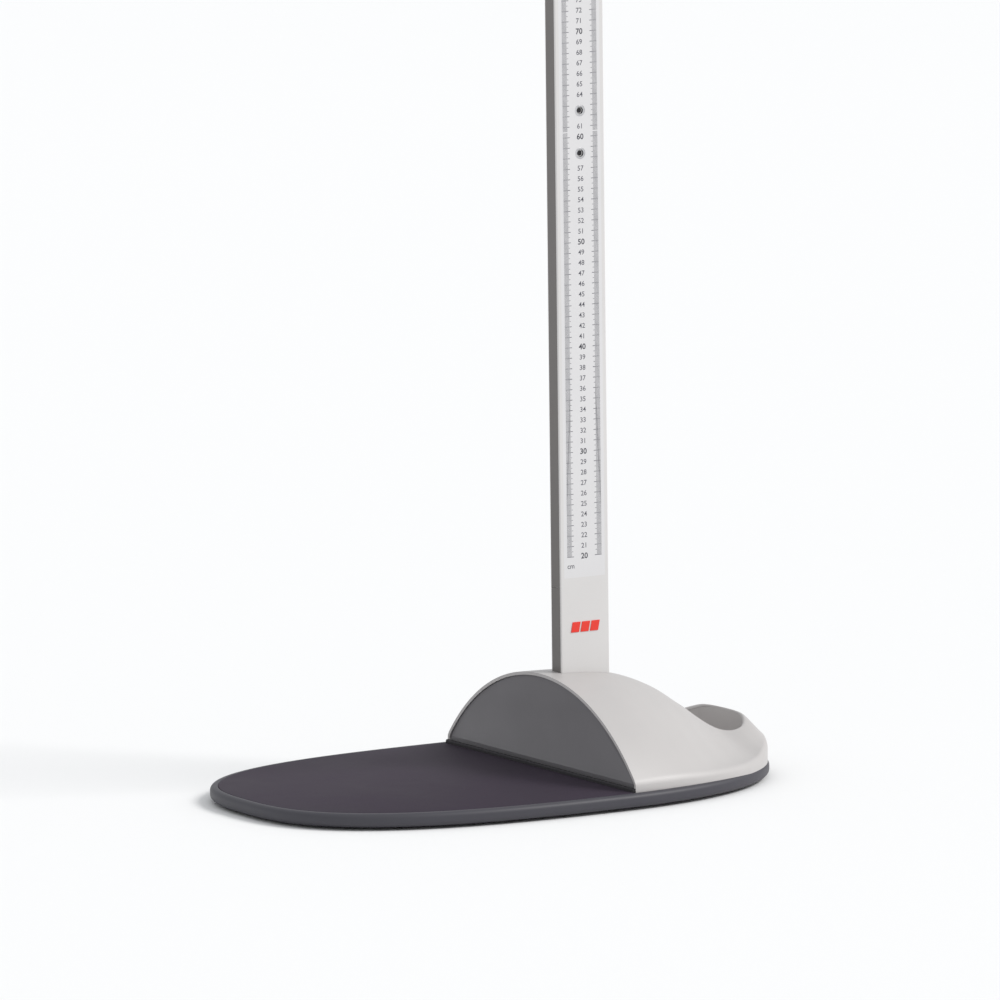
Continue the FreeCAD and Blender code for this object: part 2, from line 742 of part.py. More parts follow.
def slide_half(side):
    """Front (-1) or rear (1) half of the slide body."""
    reach = 200.0
    x0 = COLUMN_X if side > 0 else COLUMN_X - reach
    half = body_block().common(box(x0, x0 + reach, -reach, reach, PLANE_Z - reach, PLANE_Z + reach))
    half = half.cut(glide_space(side))
    for cutter in body_screw_cutters(side):
        half = half.cut(cutter)
    if side > 0:
        half = half.cut(shoe_space(0.3))
        half = half.cut(button_space(RUN_GAP, BUTTON_TRAVEL + 1.0))
        low, high = spring_levels()
        half = half.cut(upright(SPRING_RADIUS + 1.2, button_centre(), 0, low, high))
        return half
    return half.fuse(hinge_ears()).removeSplitter()


def body_screw_places():
    """Side and height of each screw that joins the slide halves."""
    reach = COLUMN_WIDTH / 2 + BODY_WALL_Y / 2 + CHANNEL_GAP / 2
    return [(side * reach, PLANE_Z + z) for side in (-1, 1) for z in BODY_SCREW_HEIGHTS]


def body_screw(place):
    """Screw from the rear face of the slide into its front half."""
    y, z = place
    rear = COLUMN_X + body_reach()[0]
    seat = rear - BODY_SCREW_HEAD - BODY_SCREW_RECESS
    head = rod(BODY_SCREW_HEAD_RADIUS, V(seat, y, z), V(seat + BODY_SCREW_HEAD, y, z))
    socket = rod(1.3, V(seat + 1.2, y, z), V(rear, y, z))
    shank = rod(BODY_SCREW_RADIUS, V(COLUMN_X - BODY_SCREW_REACH, y, z), V(seat, y, z))
    return head.cut(socket).fuse(shank).removeSplitter()


def body_screw_cutters(side):
    """Holes for the body screws in one half."""
    rear = COLUMN_X + body_reach()[0]
    cutters = []
    for y, z in body_screw_places():
        if side > 0:
            seat = rear - BODY_SCREW_HEAD - BODY_SCREW_RECESS
            cutters.append(rod(BODY_SCREW_HEAD_RADIUS, V(seat, y, z), V(rear + 1, y, z)))
            cutters.append(rod(BODY_SCREW_RADIUS, V(COLUMN_X - 1, y, z), V(rear, y, z)))
        else:
            tip = V(COLUMN_X - BODY_SCREW_REACH, y, z)
            cutters.append(rod(BODY_SCREW_RADIUS, tip, V(COLUMN_X + 1, y, z)))
    return cutters


def hinge_axis_x():
    """X of the head plate's hinge."""
    return COLUMN_X - body_reach()[0] - HINGE_OUT


def hinge_ears():
    """Two ears on the front of the slide that hold the hinge pin."""
    reach_y = body_reach()[1]
    x = hinge_axis_x()
    z = PLANE_Z + HINGE_Z
    ears = []
    for side in (-1, 1):
        y0 = min(side * reach_y, side * (reach_y - EAR_WIDTH))
        barrel = rod(KNUCKLE_RADIUS, V(x, y0, z), V(x, y0 + EAR_WIDTH, z))
        root = box(x, x + HINGE_OUT + 6.0, y0, y0 + EAR_WIDTH, z - KNUCKLE_RADIUS, z + KNUCKLE_RADIUS)
        ear = barrel.fuse(root)
        ears.append(ear.cut(rod(PIN_RADIUS, V(x, -100, z), V(x, 100, z))))
    return ears[0].fuse(ears[1])


def hinge_pin():
    """Pin through the ears and the head plate."""
    reach_y = body_reach()[1]
    x = hinge_axis_x()
    z = PLANE_Z + HINGE_Z
    return rod(PIN_RADIUS, V(x, -reach_y, z), V(x, reach_y, z))


def head_plate():
    """Flat paddle that projects over the feet, with a knuckle between the ears."""
    reach_y = body_reach()[1] - EAR_WIDTH - RUN_GAP
    x = hinge_axis_x()
    z = PLANE_Z + HINGE_Z
    wide = PLATE_HALF_WIDTH
    tip = x - PLATE_REACH
    corner = PLATE_CORNER
    start = x - KNUCKLE_RADIUS - 2.0
    flare = start - 26.0
    turn = corner * (1 - math.sqrt(0.5))
    edges = [
        Part.LineSegment(V(start, -PLATE_NECK, 0), V(flare, -wide, 0)),
        Part.LineSegment(V(flare, -wide, 0), V(tip + corner, -wide, 0)),
        Part.Arc(V(tip + corner, -wide, 0), V(tip + turn, -wide + turn, 0), V(tip, -wide + corner, 0)),
        Part.LineSegment(V(tip, -wide + corner, 0), V(tip, wide - corner, 0)),
        Part.Arc(V(tip, wide - corner, 0), V(tip + turn, wide - turn, 0), V(tip + corner, wide, 0)),
        Part.LineSegment(V(tip + corner, wide, 0), V(flare, wide, 0)),
        Part.LineSegment(V(flare, wide, 0), V(start, PLATE_NECK, 0)),
        Part.LineSegment(V(start, PLATE_NECK, 0), V(start, -PLATE_NECK, 0)),
    ]
    paddle = Part.Face(Part.Wire([edge.toShape() for edge in edges])).extrude(V(0, 0, PLATE_THICKNESS))
    paddle.translate(V(0, 0, PLANE_Z))
    paddle = round_edges(
        paddle,
        PLATE_EDGE_ROUND,
        lambda edge: edge.BoundBox.ZMin > PLANE_Z + PLATE_THICKNESS - 0.01
        or edge.BoundBox.ZMax < PLANE_Z + 0.01,
    )
    root = box(start - 20, x + HINGE_OUT - RUN_GAP, -reach_y, reach_y, PLANE_Z, PLANE_Z + PLATE_THICKNESS)
    knuckle = rod(KNUCKLE_RADIUS, V(x, -reach_y, z), V(x, reach_y, z))
    shape = paddle.fuse(root).fuse(knuckle)
    return shape.cut(rod(PIN_RADIUS + PIN_FIT, V(x, -100, z), V(x, 100, z)))


def numbered(name, make, items):
    """Name and shape of each repeat of a sub-part, numbered from 1."""
    return [(f"{name}_{k}", make(item)) for k, item in enumerate(items, start=1)]


def all_parts():
    """Every sub-part with its name."""
    joints = section_levels()[1:-1]
    sections = range(SECTION_COUNT)
    parts = [
        ("base_plate", base_plate()),
        ("edge_trim", edge_trim()),
        ("foot_mat", foot_mat()),
        ("heel_seal", heel_seal()),
        ("base_cover", base_cover()),
        ("grip_cup", grip_cup()),
        ("heel_panel", heel_panel()),
        ("foot_bracket", foot_bracket()),
        ("guide_strip", guide_strip()),
        ("top_cap", top_cap()),
        ("badge", badge()),
        ("lower_stop", lower_stop()),
        ("slide_front", slide_half(-1)),
        ("slide_rear", slide_half(1)),
        ("window", window()),
        ("pointer", pointer()),
        ("glide_front", glide_space(-1)),
        ("glide_rear", rear_glide()),
        ("hinge_pin", hinge_pin()),
        ("brake_shoe", shoe_space(0)),
        ("brake_button", brake_button()),
        ("brake_spring", brake_spring()),
        ("head_plate", head_plate()),
    ]
    parts += numbered("foot_pad", foot_pad, pad_places())
    parts += numbered("cover_screw", cover_screw, boss_places())
    parts += numbered("plate_screw", plate_screw, bracket_screw_places())
    parts += numbered("clamp_bolt", clamp_bolt, CLAMP_HEIGHTS)
    parts += numbered("column", column_section, sections)
    parts += numbered("rule", rule_strip, sections)
    parts += numbered("splice", splice_bar, joints)
    parts += numbered("splice_screw", splice_screw, all_screw_levels())
    parts += numbered("slide_screw", body_screw, body_screw_places())
    return parts


os.makedirs("parts", exist_ok=True)
for name, shape in all_parts():
    if not shape.isValid() or shape.Volume <= 0:
        raise ValueError(f"{name} isn't a valid solid")
    shape.exportStep(f"parts/{name}.step")
    print(name, len(shape.Solids), round(shape.Volume / 1000.0, 2))
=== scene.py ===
"""Looks of the height measuring station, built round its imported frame.

Sizes in the classes are millimetres, as in the part's own source, and meshes are written in metres.
"""

import logging
import math
from dataclasses import dataclass, field
from enum import Enum
from typing import Iterable, Sequence

import bmesh
import bpy
import numpy as np
from mathutils import Matrix, Vector


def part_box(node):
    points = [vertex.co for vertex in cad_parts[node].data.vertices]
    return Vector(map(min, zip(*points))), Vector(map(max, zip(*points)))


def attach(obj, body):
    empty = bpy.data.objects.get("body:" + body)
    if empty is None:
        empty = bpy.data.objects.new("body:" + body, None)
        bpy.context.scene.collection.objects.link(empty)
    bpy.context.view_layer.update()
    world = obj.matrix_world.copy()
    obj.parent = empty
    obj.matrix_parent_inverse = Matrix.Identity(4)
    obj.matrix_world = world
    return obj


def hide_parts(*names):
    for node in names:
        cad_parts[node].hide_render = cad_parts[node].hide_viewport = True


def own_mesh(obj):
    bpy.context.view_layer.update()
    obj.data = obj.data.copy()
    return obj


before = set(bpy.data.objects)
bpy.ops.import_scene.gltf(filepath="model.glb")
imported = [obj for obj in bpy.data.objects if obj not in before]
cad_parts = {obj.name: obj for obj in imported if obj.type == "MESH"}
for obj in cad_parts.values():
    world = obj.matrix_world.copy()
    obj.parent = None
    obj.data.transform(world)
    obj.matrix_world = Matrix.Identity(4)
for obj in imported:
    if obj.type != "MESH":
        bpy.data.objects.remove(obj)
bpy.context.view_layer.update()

MM = 0.001
COLUMN_SECTIONS = 4
SPLICE_SCREWS = 6
FOOT_PADS = 6
LOG = logging.getLogger("station")

Colour = tuple[float, float, float]
Point = tuple[float, float, float]


def srgb(red: int, green: int, blue: int) -> Colour:
    """Turns an 8-bit display colour into linear light.

    Args:
        red: Red from 0 to 255.
        green: Green from 0 to 255.
        blue: Blue from 0 to 255.

    Returns:
        The linear colour.
    """
    return tuple(((v / 255 + 0.055) / 1.055) ** 2.4 for v in (red, green, blue))


# ---------------------------------------------------------------- shader writing


class Term:
    """A shader socket that takes part in Python expressions."""

    def __init__(self, shader: "Shader", socket: bpy.types.NodeSocket) -> None:
        """Keeps the socket and the material it belongs to."""
        self.shader = shader
        self.socket = socket

    def _math(self, operation: str, *values: "Term | float") -> "Term":
        """Adds a Math node.

        Args:
            operation: The node's operation.
            values: Its inputs in order.

        Returns:
            The node's output.
        """
        return self.shader.node("ShaderNodeMath", {"operation": operation}, dict(enumerate(values)))

    def __add__(self, other: "Term | float") -> "Term":
        """Sum of two values."""
        return self._math("ADD", self, other)

    def __sub__(self, other: "Term | float") -> "Term":
        """Difference of two values."""
        return self._math("SUBTRACT", self, other)

    def __rsub__(self, other: float) -> "Term":
        """A number less this value."""
        return self._math("SUBTRACT", other, self)

    def __mul__(self, other: "Term | float") -> "Term":
        """Product of two values."""
        return self._math("MULTIPLY", self, other)

    __radd__ = __add__
    __rmul__ = __mul__

    def ramp(self, low: float, high: float, start: float = 0.0, end: float = 1.0) -> "Term":
        """Maps a span of this value onto another span, without going past its ends.

        Args:
            low: Value that maps to start.
            high: Value that maps to end.
            start: Result at low.
            end: Result at high.

        Returns:
            The mapped value.
        """
        return self.shader.node(
            "ShaderNodeMapRange",
            {"clamp": True},
            {"Value": self, "From Min": low, "From Max": high, "To Min": start, "To Max": end},
        )


class Shader:
    """One material under construction."""

    def __init__(self, name: str) -> None:
        """Starts a material with a Principled surface.

        Args:
            name: The material's name.
        """
        self.material = bpy.data.materials.new(name)
        self.material.use_nodes = True
        self.tree = self.material.node_tree
        self.surface = self.tree.nodes["Principled BSDF"]
        self._place: Term | None = None

    def node(
        self,
        kind: str,
        settings: dict[str, object] | None = None,
        inputs: dict[str | int, object] | None = None,
        output: str | int = 0,
    ) -> Term:
        """Adds a node.

        Args:
            kind: The node's type.
            settings: Its attributes, set first.
            inputs: Values or terms for its sockets, by name or place.
            output: The output that the term stands for.

        Returns:
            The output as a term.
        """
        made = self.tree.nodes.new(kind)
        for key, value in (settings or {}).items():
            setattr(made, key, value)
        for key, value in (inputs or {}).items():
            self.feed(made.inputs[key], value)
        return Term(self, made.outputs[output])

    def feed(self, socket: bpy.types.NodeSocket, value: object) -> None:
        """Links a term to a socket, or sets a plain value on it.

        Args:
            socket: The input.
            value: A term, a number, or a colour or vector.
        """
        if isinstance(value, Term):
            self.tree.links.new(value.socket, socket)
        elif isinstance(value, tuple) and len(value) == 3 and len(socket.default_value) == 4:
            socket.default_value = (*value, 1.0)
        else:
            socket.default_value = value

    def set(self, **values: object) -> None:
        """Sets sockets of the surface.

        Args:
            values: Value or term of each socket, with underscores in place of spaces.
        """
        sockets = {socket.name.lower(): socket for socket in self.surface.inputs}
        for key, value in values.items():
            self.feed(sockets[key.replace("_", " ")], value)

    def place(self) -> Term:
        """Position on the object.

        Returns:
            The position in metres.
        """
        if self._place is None:
            self._place = self.node("ShaderNodeTexCoord", output="Object")
        return self._place

    def noise(
        self, pitch: float, detail: float = 2.0, roughness: float = 0.5, stretch: Point = (1, 1, 1)
    ) -> Term:
        """Soft noise.

        Args:
            pitch: Size of its features in millimetres.
            detail: Octaves.
            roughness: Share of the finer octaves.
            stretch: Frequency along each axis.

        Returns:
            The noise, about 0.5 on average.
        """
        where = self.place()
        if stretch != (1, 1, 1):
            where = self.node(
                "ShaderNodeVectorMath", {"operation": "MULTIPLY"}, {0: where, 1: tuple(map(float, stretch))}
            )
        return self.node(
            "ShaderNodeTexNoise",
            {"noise_dimensions": "3D"},
            {"Vector": where, "Scale": 1.0 / (pitch * MM), "Detail": detail, "Roughness": roughness},
        )

    def cells(self, pitch: float) -> Term:
        """Distance to the nearest cell centre of a pebbled grain.

        Args:
            pitch: Size of a cell in millimetres.

        Returns:
            The distance, 0 at a centre.
        """
        return self.node(
            "ShaderNodeTexVoronoi", {"feature": "F1"}, {"Vector": self.place(), "Scale": 1.0 / (pitch * MM)}
        )

    def blend(self, first: object, second: object, share: Term | float) -> Term:
        """Mixes two colours.

        Args:
            first: Colour at 0.
            second: Colour at 1.
            share: How much of the second.

        Returns:
            The mixed colour.
        """
        made = self.tree.nodes.new("ShaderNodeMix")
        made.data_type = "RGBA"
        self.feed(made.inputs[0], share)
        self.feed(made.inputs[6], first)
        self.feed(made.inputs[7], second)
        return Term(self, made.outputs[2])

    def bump(self, height: Term, depth: float, strength: float = 1.0) -> Term:
        """Bump normal.

        Args:
            height: The relief, 0 to 1.
            depth: Depth of the relief in millimetres.
            strength: Share of the effect.

        Returns:
            The normal.
        """
        relief = {"Height": height, "Distance": depth * MM, "Strength": strength}
        return self.node("ShaderNodeBump", None, relief)

    def worn_edges(self, radius: float) -> Term:
        """Share of wear on outward edges.

        Args:
            radius: Width of the worn band in millimetres.

        Returns:
            0 on flat faces, up to 1 on sharp edges.
        """
        rounded = self.node("ShaderNodeBevel", {"samples": 4}, {"Radius": radius * MM})
        flat = self.node("ShaderNodeNewGeometry", output="Normal")
        same = self.node(
            "ShaderNodeVectorMath", {"operation": "DOT_PRODUCT"}, {0: rounded, 1: flat}, output="Value"
        )
        return same.ramp(0.995, 0.80)


def tint(colour: Colour, factor: float) -> Colour:
    """A colour made lighter or darker."""
    return tuple(min(1.0, channel * factor) for channel in colour)


# ---------------------------------------------------------------- finishes


class Grain(Enum):
    """Surface relief of a moulded or coated piece: pitch and depth in millimetres."""

    SMOOTH = (0.5, 0.004)
    FINE = (0.7, 0.02)
    ORANGE_PEEL = (1.6, 0.02)
    PEBBLE = (1.4, 0.10)


@dataclass(frozen=True)
class Moulded:
    """Moulded plastic or powder coat: fine relief, faint mottling and lighter worn edges."""

    name: str
    colour: Colour
    roughness: float = 0.45
    grain: Grain = Grain.FINE
    mottle: float = 0.05
    wear: float = 0.15
    coat: float = 0.0

    def material(self) -> bpy.types.Material:
        """Builds the material.

        Returns:
            The finished material.
        """
        shader = Shader(self.name)
        pitch, depth = self.grain.value
        cloud = shader.noise(60.0, 3.0)
        speck = shader.noise(pitch, 2.0)
        edges = shader.worn_edges(0.7)
        base = shader.blend(
            tint(self.colour, 1.0 - self.mottle), tint(self.colour, 1.0 + self.mottle), cloud.ramp(0.35, 0.65)
        )
        fine = shader.blend(base, tint(self.colour, 1.0 + 2 * self.mottle), speck.ramp(0.55, 0.8, 0.0, 0.5))
        worn = shader.blend(fine, tint(self.colour, 1.25), edges * self.wear)
        shader.set(
            base_color=worn,
            roughness=speck.ramp(0.3, 0.7, self.roughness - 0.05, self.roughness + 0.07) + edges * -0.06,
            normal=shader.bump(speck, depth),
            specular_ior_level=0.45,
        )
        shader.surface.inputs["Coat Weight"].default_value = self.coat
        return shader.material


@dataclass(frozen=True)
class Sheet:
    """Rubbery sheet with a pebbled grain and scuffs where feet stand."""

    name: str
    colour: Colour
    scuff: Colour
    roughness: float = 0.62

    def material(self) -> bpy.types.Material:
        """Builds the material.

        Returns:
            The finished material.
        """
        shader = Shader(self.name)
        pebble = shader.cells(Grain.PEBBLE.value[0]).ramp(0.0, 0.8, 1.0, 0.0)
        patches = shader.noise(90.0, 4.0, 0.55)
        lint = shader.noise(2.4, 3.0, 0.7)
        base = shader.blend(tint(self.colour, 0.93), tint(self.colour, 1.07), patches.ramp(0.35, 0.65))
        marked = shader.blend(base, self.scuff, patches.ramp(0.5, 0.75, 0.0, 0.25) * lint.ramp(0.45, 0.7))
        shader.set(
            base_color=shader.blend(marked, tint(self.colour, 0.8), pebble.ramp(0.3, 0.0, 0.0, 0.5)),
            roughness=patches.ramp(0.3, 0.7, self.roughness - 0.06, self.roughness + 0.08),
            normal=shader.bump(pebble, Grain.PEBBLE.value[1], 0.6),
            specular_ior_level=0.2,
        )
        return shader.material


@dataclass(frozen=True)
class Metal:
    """Bare or plated metal with drawn lines."""

    name: str
    colour: Colour
    roughness: float = 0.3
    lines: Point = (1, 1, 1)

    def material(self) -> bpy.types.Material:
        """Builds the material.

        Returns:
            The finished material.
        """
        shader = Shader(self.name)
        streaks = shader.noise(0.8, 3.0, 0.6, self.lines)
        film = shader.noise(12.0, 3.0)
        shader.set(
            base_color=shader.blend(tint(self.colour, 0.85), self.colour, film.ramp(0.3, 0.6)),
            roughness=streaks.ramp(0.3, 0.7, self.roughness - 0.07, self.roughness + 0.1),
            normal=shader.bump(streaks, 0.01, 0.5),
            metallic=1.0,
        )
        return shader.material


@dataclass(frozen=True)
class Ink:
    """Printed ink with slightly uneven cover."""

    name: str
    colour: Colour
    roughness: float = 0.5

    def material(self) -> bpy.types.Material:
        """Builds the material.

        Returns:
            The finished material.
        """
        shader = Shader(self.name)
        cover = shader.noise(0.4, 2.0)
        shader.set(
            base_color=shader.blend(self.colour, tint(self.colour, 1.35), cover.ramp(0.5, 0.8)),
            roughness=self.roughness,
        )
        return shader.material


@dataclass(frozen=True)
class Clear:
    """Clear moulded pane."""

    name: str

    def material(self) -> bpy.types.Material:
        """Builds the material.

        Returns:
            The finished material.
        """
        shader = Shader(self.name)
        haze = shader.noise(8.0, 3.0)
        shader.set(
            base_color=(0.93, 0.95, 0.96),
            roughness=haze.ramp(0.4, 0.7, 0.03, 0.09),
            alpha=haze.ramp(0.35, 0.75, 0.10, 0.16),
            specular_ior_level=0.6,
        )
        return shader.material


@dataclass(frozen=True)
class Palette:
    """Every finish of the station."""

    shell: Moulded = Moulded("shell_plastic", srgb(187, 184, 183), 0.42, Grain.FINE, 0.015, 0.12)
    # Mid grey of the heel panel, also used for the stop and glides: partly the panel's own grey, partly
    # painted shade of its front face.
    panel: Moulded = Moulded("panel_plastic", srgb(113, 111, 114), 0.5, Grain.FINE, 0.03, 0.1)
    # Grey of the guide strip, set to the shade on the column's -X face: painted shade.
    guide: Moulded = Moulded("guide_painted_shade", srgb(104, 100, 98), 0.4, Grain.SMOOTH, 0.03, 0.05)
    button: Moulded = Moulded("button_plastic", srgb(92, 92, 96), 0.45, Grain.FINE, 0.03, 0.1)
    plate: Moulded = Moulded("plate_plastic", srgb(58, 56, 62), 0.55, Grain.FINE, 0.04, 0.2)
    trim: Moulded = Moulded("trim_plastic", srgb(62, 61, 68), 0.5, Grain.FINE, 0.03, 0.12)
    column: Moulded = Moulded("column_coat", srgb(211, 209, 208), 0.36, Grain.ORANGE_PEEL, 0.012, 0.1)
    film: Moulded = Moulded("rule_film", srgb(215, 214, 215), 0.4, Grain.SMOOTH, 0.01, 0.0)
    mark: Moulded = Moulded("red_enamel", srgb(226, 52, 38), 0.35, Grain.SMOOTH, 0.03, 0.1)
    # Dark rubber of the pads and shoe; on the heel bead it also paints the contact shadow under the panel.
    seal: Moulded = Moulded("seal_rubber", srgb(40, 38, 42), 0.7, Grain.FINE, 0.05, 0.0)
    mat: Sheet = Sheet("mat_rubber", srgb(57, 49, 61), srgb(78, 70, 82), 0.74)
    zinc: Metal = Metal("zinc_plate", srgb(206, 206, 208), 0.4)
    socket: Metal = Metal("socket_steel", srgb(70, 70, 72), 0.5)
    aluminium: Metal = Metal("mill_aluminium", srgb(205, 206, 208), 0.38, (1, 1, 0.05))
    ink: Ink = Ink("rule_ink", srgb(90, 90, 98))
    bold_ink: Ink = Ink("rule_bold_ink", srgb(66, 66, 74))
    clear: Clear = Clear("clear_pane")


class Finishes:
    """Builds each finish once and hands it out."""

    def __init__(self, palette: Palette) -> None:
        """Keeps the palette.

        Args:
            palette: The finishes to build from.
        """
        self.palette = palette
        self._made: dict[str, bpy.types.Material] = {}

    def __getattr__(self, name: str) -> bpy.types.Material:
        """The material of a finish.

        Args:
            name: The finish's name in the palette.

        Returns:
            Its material, built at the first call.
        """
        if name not in self._made:
            self._made[name] = getattr(self.palette, name).material()
        return self._made[name]

    def dress(self, piece: bpy.types.Object, material: bpy.types.Material) -> None:
        """Gives a piece one material.

        Args:
            piece: The object.
            material: Its material.
        """
        piece.data.materials.clear()
        piece.data.materials.append(material)


# ---------------------------------------------------------------- mesh writing


def mesh_object(
    name: str, points: Iterable[Sequence[float]], faces: Iterable[Sequence[int]]
) -> bpy.types.Object:
    """Makes an object from points in millimetres.

    Args:
        name: The piece's name.
        points: Its corners.
        faces: Its faces, as corner numbers.

    Returns:
        The object, linked to the scene.
    """
    mesh = bpy.data.meshes.new(name)
    mesh.from_pydata([tuple(c * MM for c in point) for point in points], [], [tuple(f) for f in faces])
    mesh.validate()
    piece = bpy.data.objects.new(name, mesh)
    bpy.context.scene.collection.objects.link(piece)
    return piece


def face_outward(piece: bpy.types.Object) -> None:
    """Turns a closed piece's faces outward.

    Args:
        piece: The object.
    """
    work = bmesh.new()
    work.from_mesh(piece.data)
    bmesh.ops.remove_doubles(work, verts=work.verts, dist=1e-7)
    bmesh.ops.recalc_face_normals(work, faces=work.faces)
    work.to_mesh(piece.data)
    work.free()


def smooth(piece: bpy.types.Object, angle: float = 32.0) -> None:
    """Shades a piece smooth, with edges sharper than the angle kept.

    Args:
        piece: The object.
        angle: Sharpest angle that is smoothed, in degrees.
    """
    for polygon in piece.data.polygons:
        polygon.use_smooth = True
    piece.data.set_sharp_from_angle(angle=math.radians(angle))


def settle(piece: bpy.types.Object) -> None:
    """Applies a piece's modifiers to its mesh.

    Args:
        piece: The object.
    """
    graph = bpy.context.evaluated_depsgraph_get()
    solid = bpy.data.meshes.new_from_object(piece.evaluated_get(graph))
    piece.modifiers.clear()
    piece.data = solid


def bevel(piece: bpy.types.Object, width: float, segments: int = 3, angle: float = 30.0) -> None:
    """Rounds a piece's edges.

    Args:
        piece: The object.
        width: Width of the rounding in millimetres.
        segments: Facets across it.
        angle: Edges sharper than this are rounded, in degrees.
    """
    face_outward(piece)
    modifier = piece.modifiers.new("round", "BEVEL")
    modifier.width = width * MM
    modifier.segments = segments
    modifier.limit_method = "ANGLE"
    modifier.angle_limit = math.radians(angle)
    modifier.harden_normals = True
    settle(piece)
    smooth(piece)


def rings_to_faces(count: int, size: int) -> list[tuple[int, ...]]:
    """Faces between rings of points.

    Args:
        count: Number of rings.
        size: Points in each ring.

    Returns:
        The quads.
    """
    return [
        (r * size + k, r * size + (k + 1) % size, (r + 1) * size + (k + 1) % size, (r + 1) * size + k)
        for r in range(count - 1)
        for k in range(size)
    ]


def loft(name: str, points: Sequence[Point], size: int) -> bpy.types.Object:
    """Closed piece through rings of points, capped at both ends.

    Args:
        name: The piece's name.
        points: The rings' points, one ring after another.
        size: Points in each ring.

    Returns:
        The object.
    """
    count = len(points) // size
    faces = rings_to_faces(count, size)
    faces += [tuple(range(size))[::-1], tuple((count - 1) * size + k for k in range(size))]
    return mesh_object(name, points, faces)


def block_faces(start: int) -> list[tuple[int, ...]]:
    """Faces of a block from its eight corners.

    Args:
        start: Number of its first corner: four of the back, then four of the front.

    Returns:
        The six quads.
    """
    ends = [tuple(start + c for c in quad) for quad in ((4, 5, 6, 7), (3, 2, 1, 0))]
    return ends + [(start + c, start + (c + 1) % 4, start + 4 + (c + 1) % 4, start + 4 + c) for c in range(4)]


def ring_turns(steps: int) -> list[float]:
    """Evenly spaced angles round a circle."""
    return [2 * math.pi * k / steps for k in range(steps)]


def quarter(steps: int) -> list[float]:
    """Angles from 0 to 90 degrees, both ends among them."""
    return [math.radians(90 * k / steps) for k in range(steps + 1)]


def face_upward(piece: bpy.types.Object, highest: bool) -> None:
    """Turns an open skin's faces so that one of them looks up, and drops its loose points.

    Args:
        piece: The object.
        highest: Whether its highest face is the guide, or its lowest.
    """
    work = bmesh.new()
    work.from_mesh(piece.data)
    bmesh.ops.delete(work, geom=[v for v in work.verts if not v.link_faces], context="VERTS")
    bmesh.ops.recalc_face_normals(work, faces=work.faces)
    choose = max if highest else min
    guide = choose(work.faces, key=lambda f: f.calc_center_median().z)
    if guide.normal.z < 0:
        bmesh.ops.reverse_faces(work, faces=work.faces)
    work.to_mesh(piece.data)
    work.free()


def thicken(piece: bpy.types.Object, wall: float) -> None:
    """Gives an open skin a wall on its inner side.

    Args:
        piece: The object.
        wall: The wall in millimetres.
    """
    modifier = piece.modifiers.new("wall", "SOLIDIFY")
    modifier.thickness = wall * MM
    modifier.offset = -1.0
    modifier.use_even_offset = False
    settle(piece)


def lathe(name: str, profile: Sequence[tuple[float, float]], steps: int = 40) -> bpy.types.Object:
    """Turns a profile about Z into a closed piece.

    Args:
        name: The piece's name.
        profile: Radius and height of each point, from the bottom's middle to the top's.
        steps: Facets round it.

    Returns:
        The object at the origin.
    """
    points = [(r * math.cos(turn), r * math.sin(turn), z) for r, z in profile for turn in ring_turns(steps)]
    return loft(name, points, steps)


def prism(name: str, outline: Sequence[tuple[float, float]], low: float, high: float) -> bpy.types.Object:
    """Closed upright prism.

    Args:
        name: The piece's name.
        outline: Its plan, in order round it.
        low: Height of its base.
        high: Height of its top.

    Returns:
        The object.
    """
    return loft(name, [(x, y, z) for z in (low, high) for x, y in outline], len(outline))


def placed(piece: bpy.types.Object, matrix: Matrix) -> bpy.types.Object:
    """Moves a piece's mesh, so that its object stays at the origin.

    Args:
        piece: The object.
        matrix: Where the mesh goes.

    Returns:
        The same object.
    """
    piece.data.transform(matrix)
    return piece


def fasten(piece: bpy.types.Object, body: str, slot: str, *nodes: str) -> bpy.types.Object:
    """Rides a piece on a body in place of CAD nodes.

    Args:
        piece: The object.
        body: The body it moves with.
        slot: The record's material slot; not used.
        nodes: The CAD nodes it stands for.

    Returns:
        The same object.
    """
    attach(piece, body)
    if nodes:
        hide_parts(*nodes)
    LOG.info("%s: %d faces on %s", piece.name, len(piece.data.polygons), body)
    return piece


def node_span(name: str) -> tuple[Vector, Vector]:
    """Lowest and highest corner of a CAD node, in millimetres."""
    low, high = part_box(name)
    return Vector(low) / MM, Vector(high) / MM


# ---------------------------------------------------------------- the base


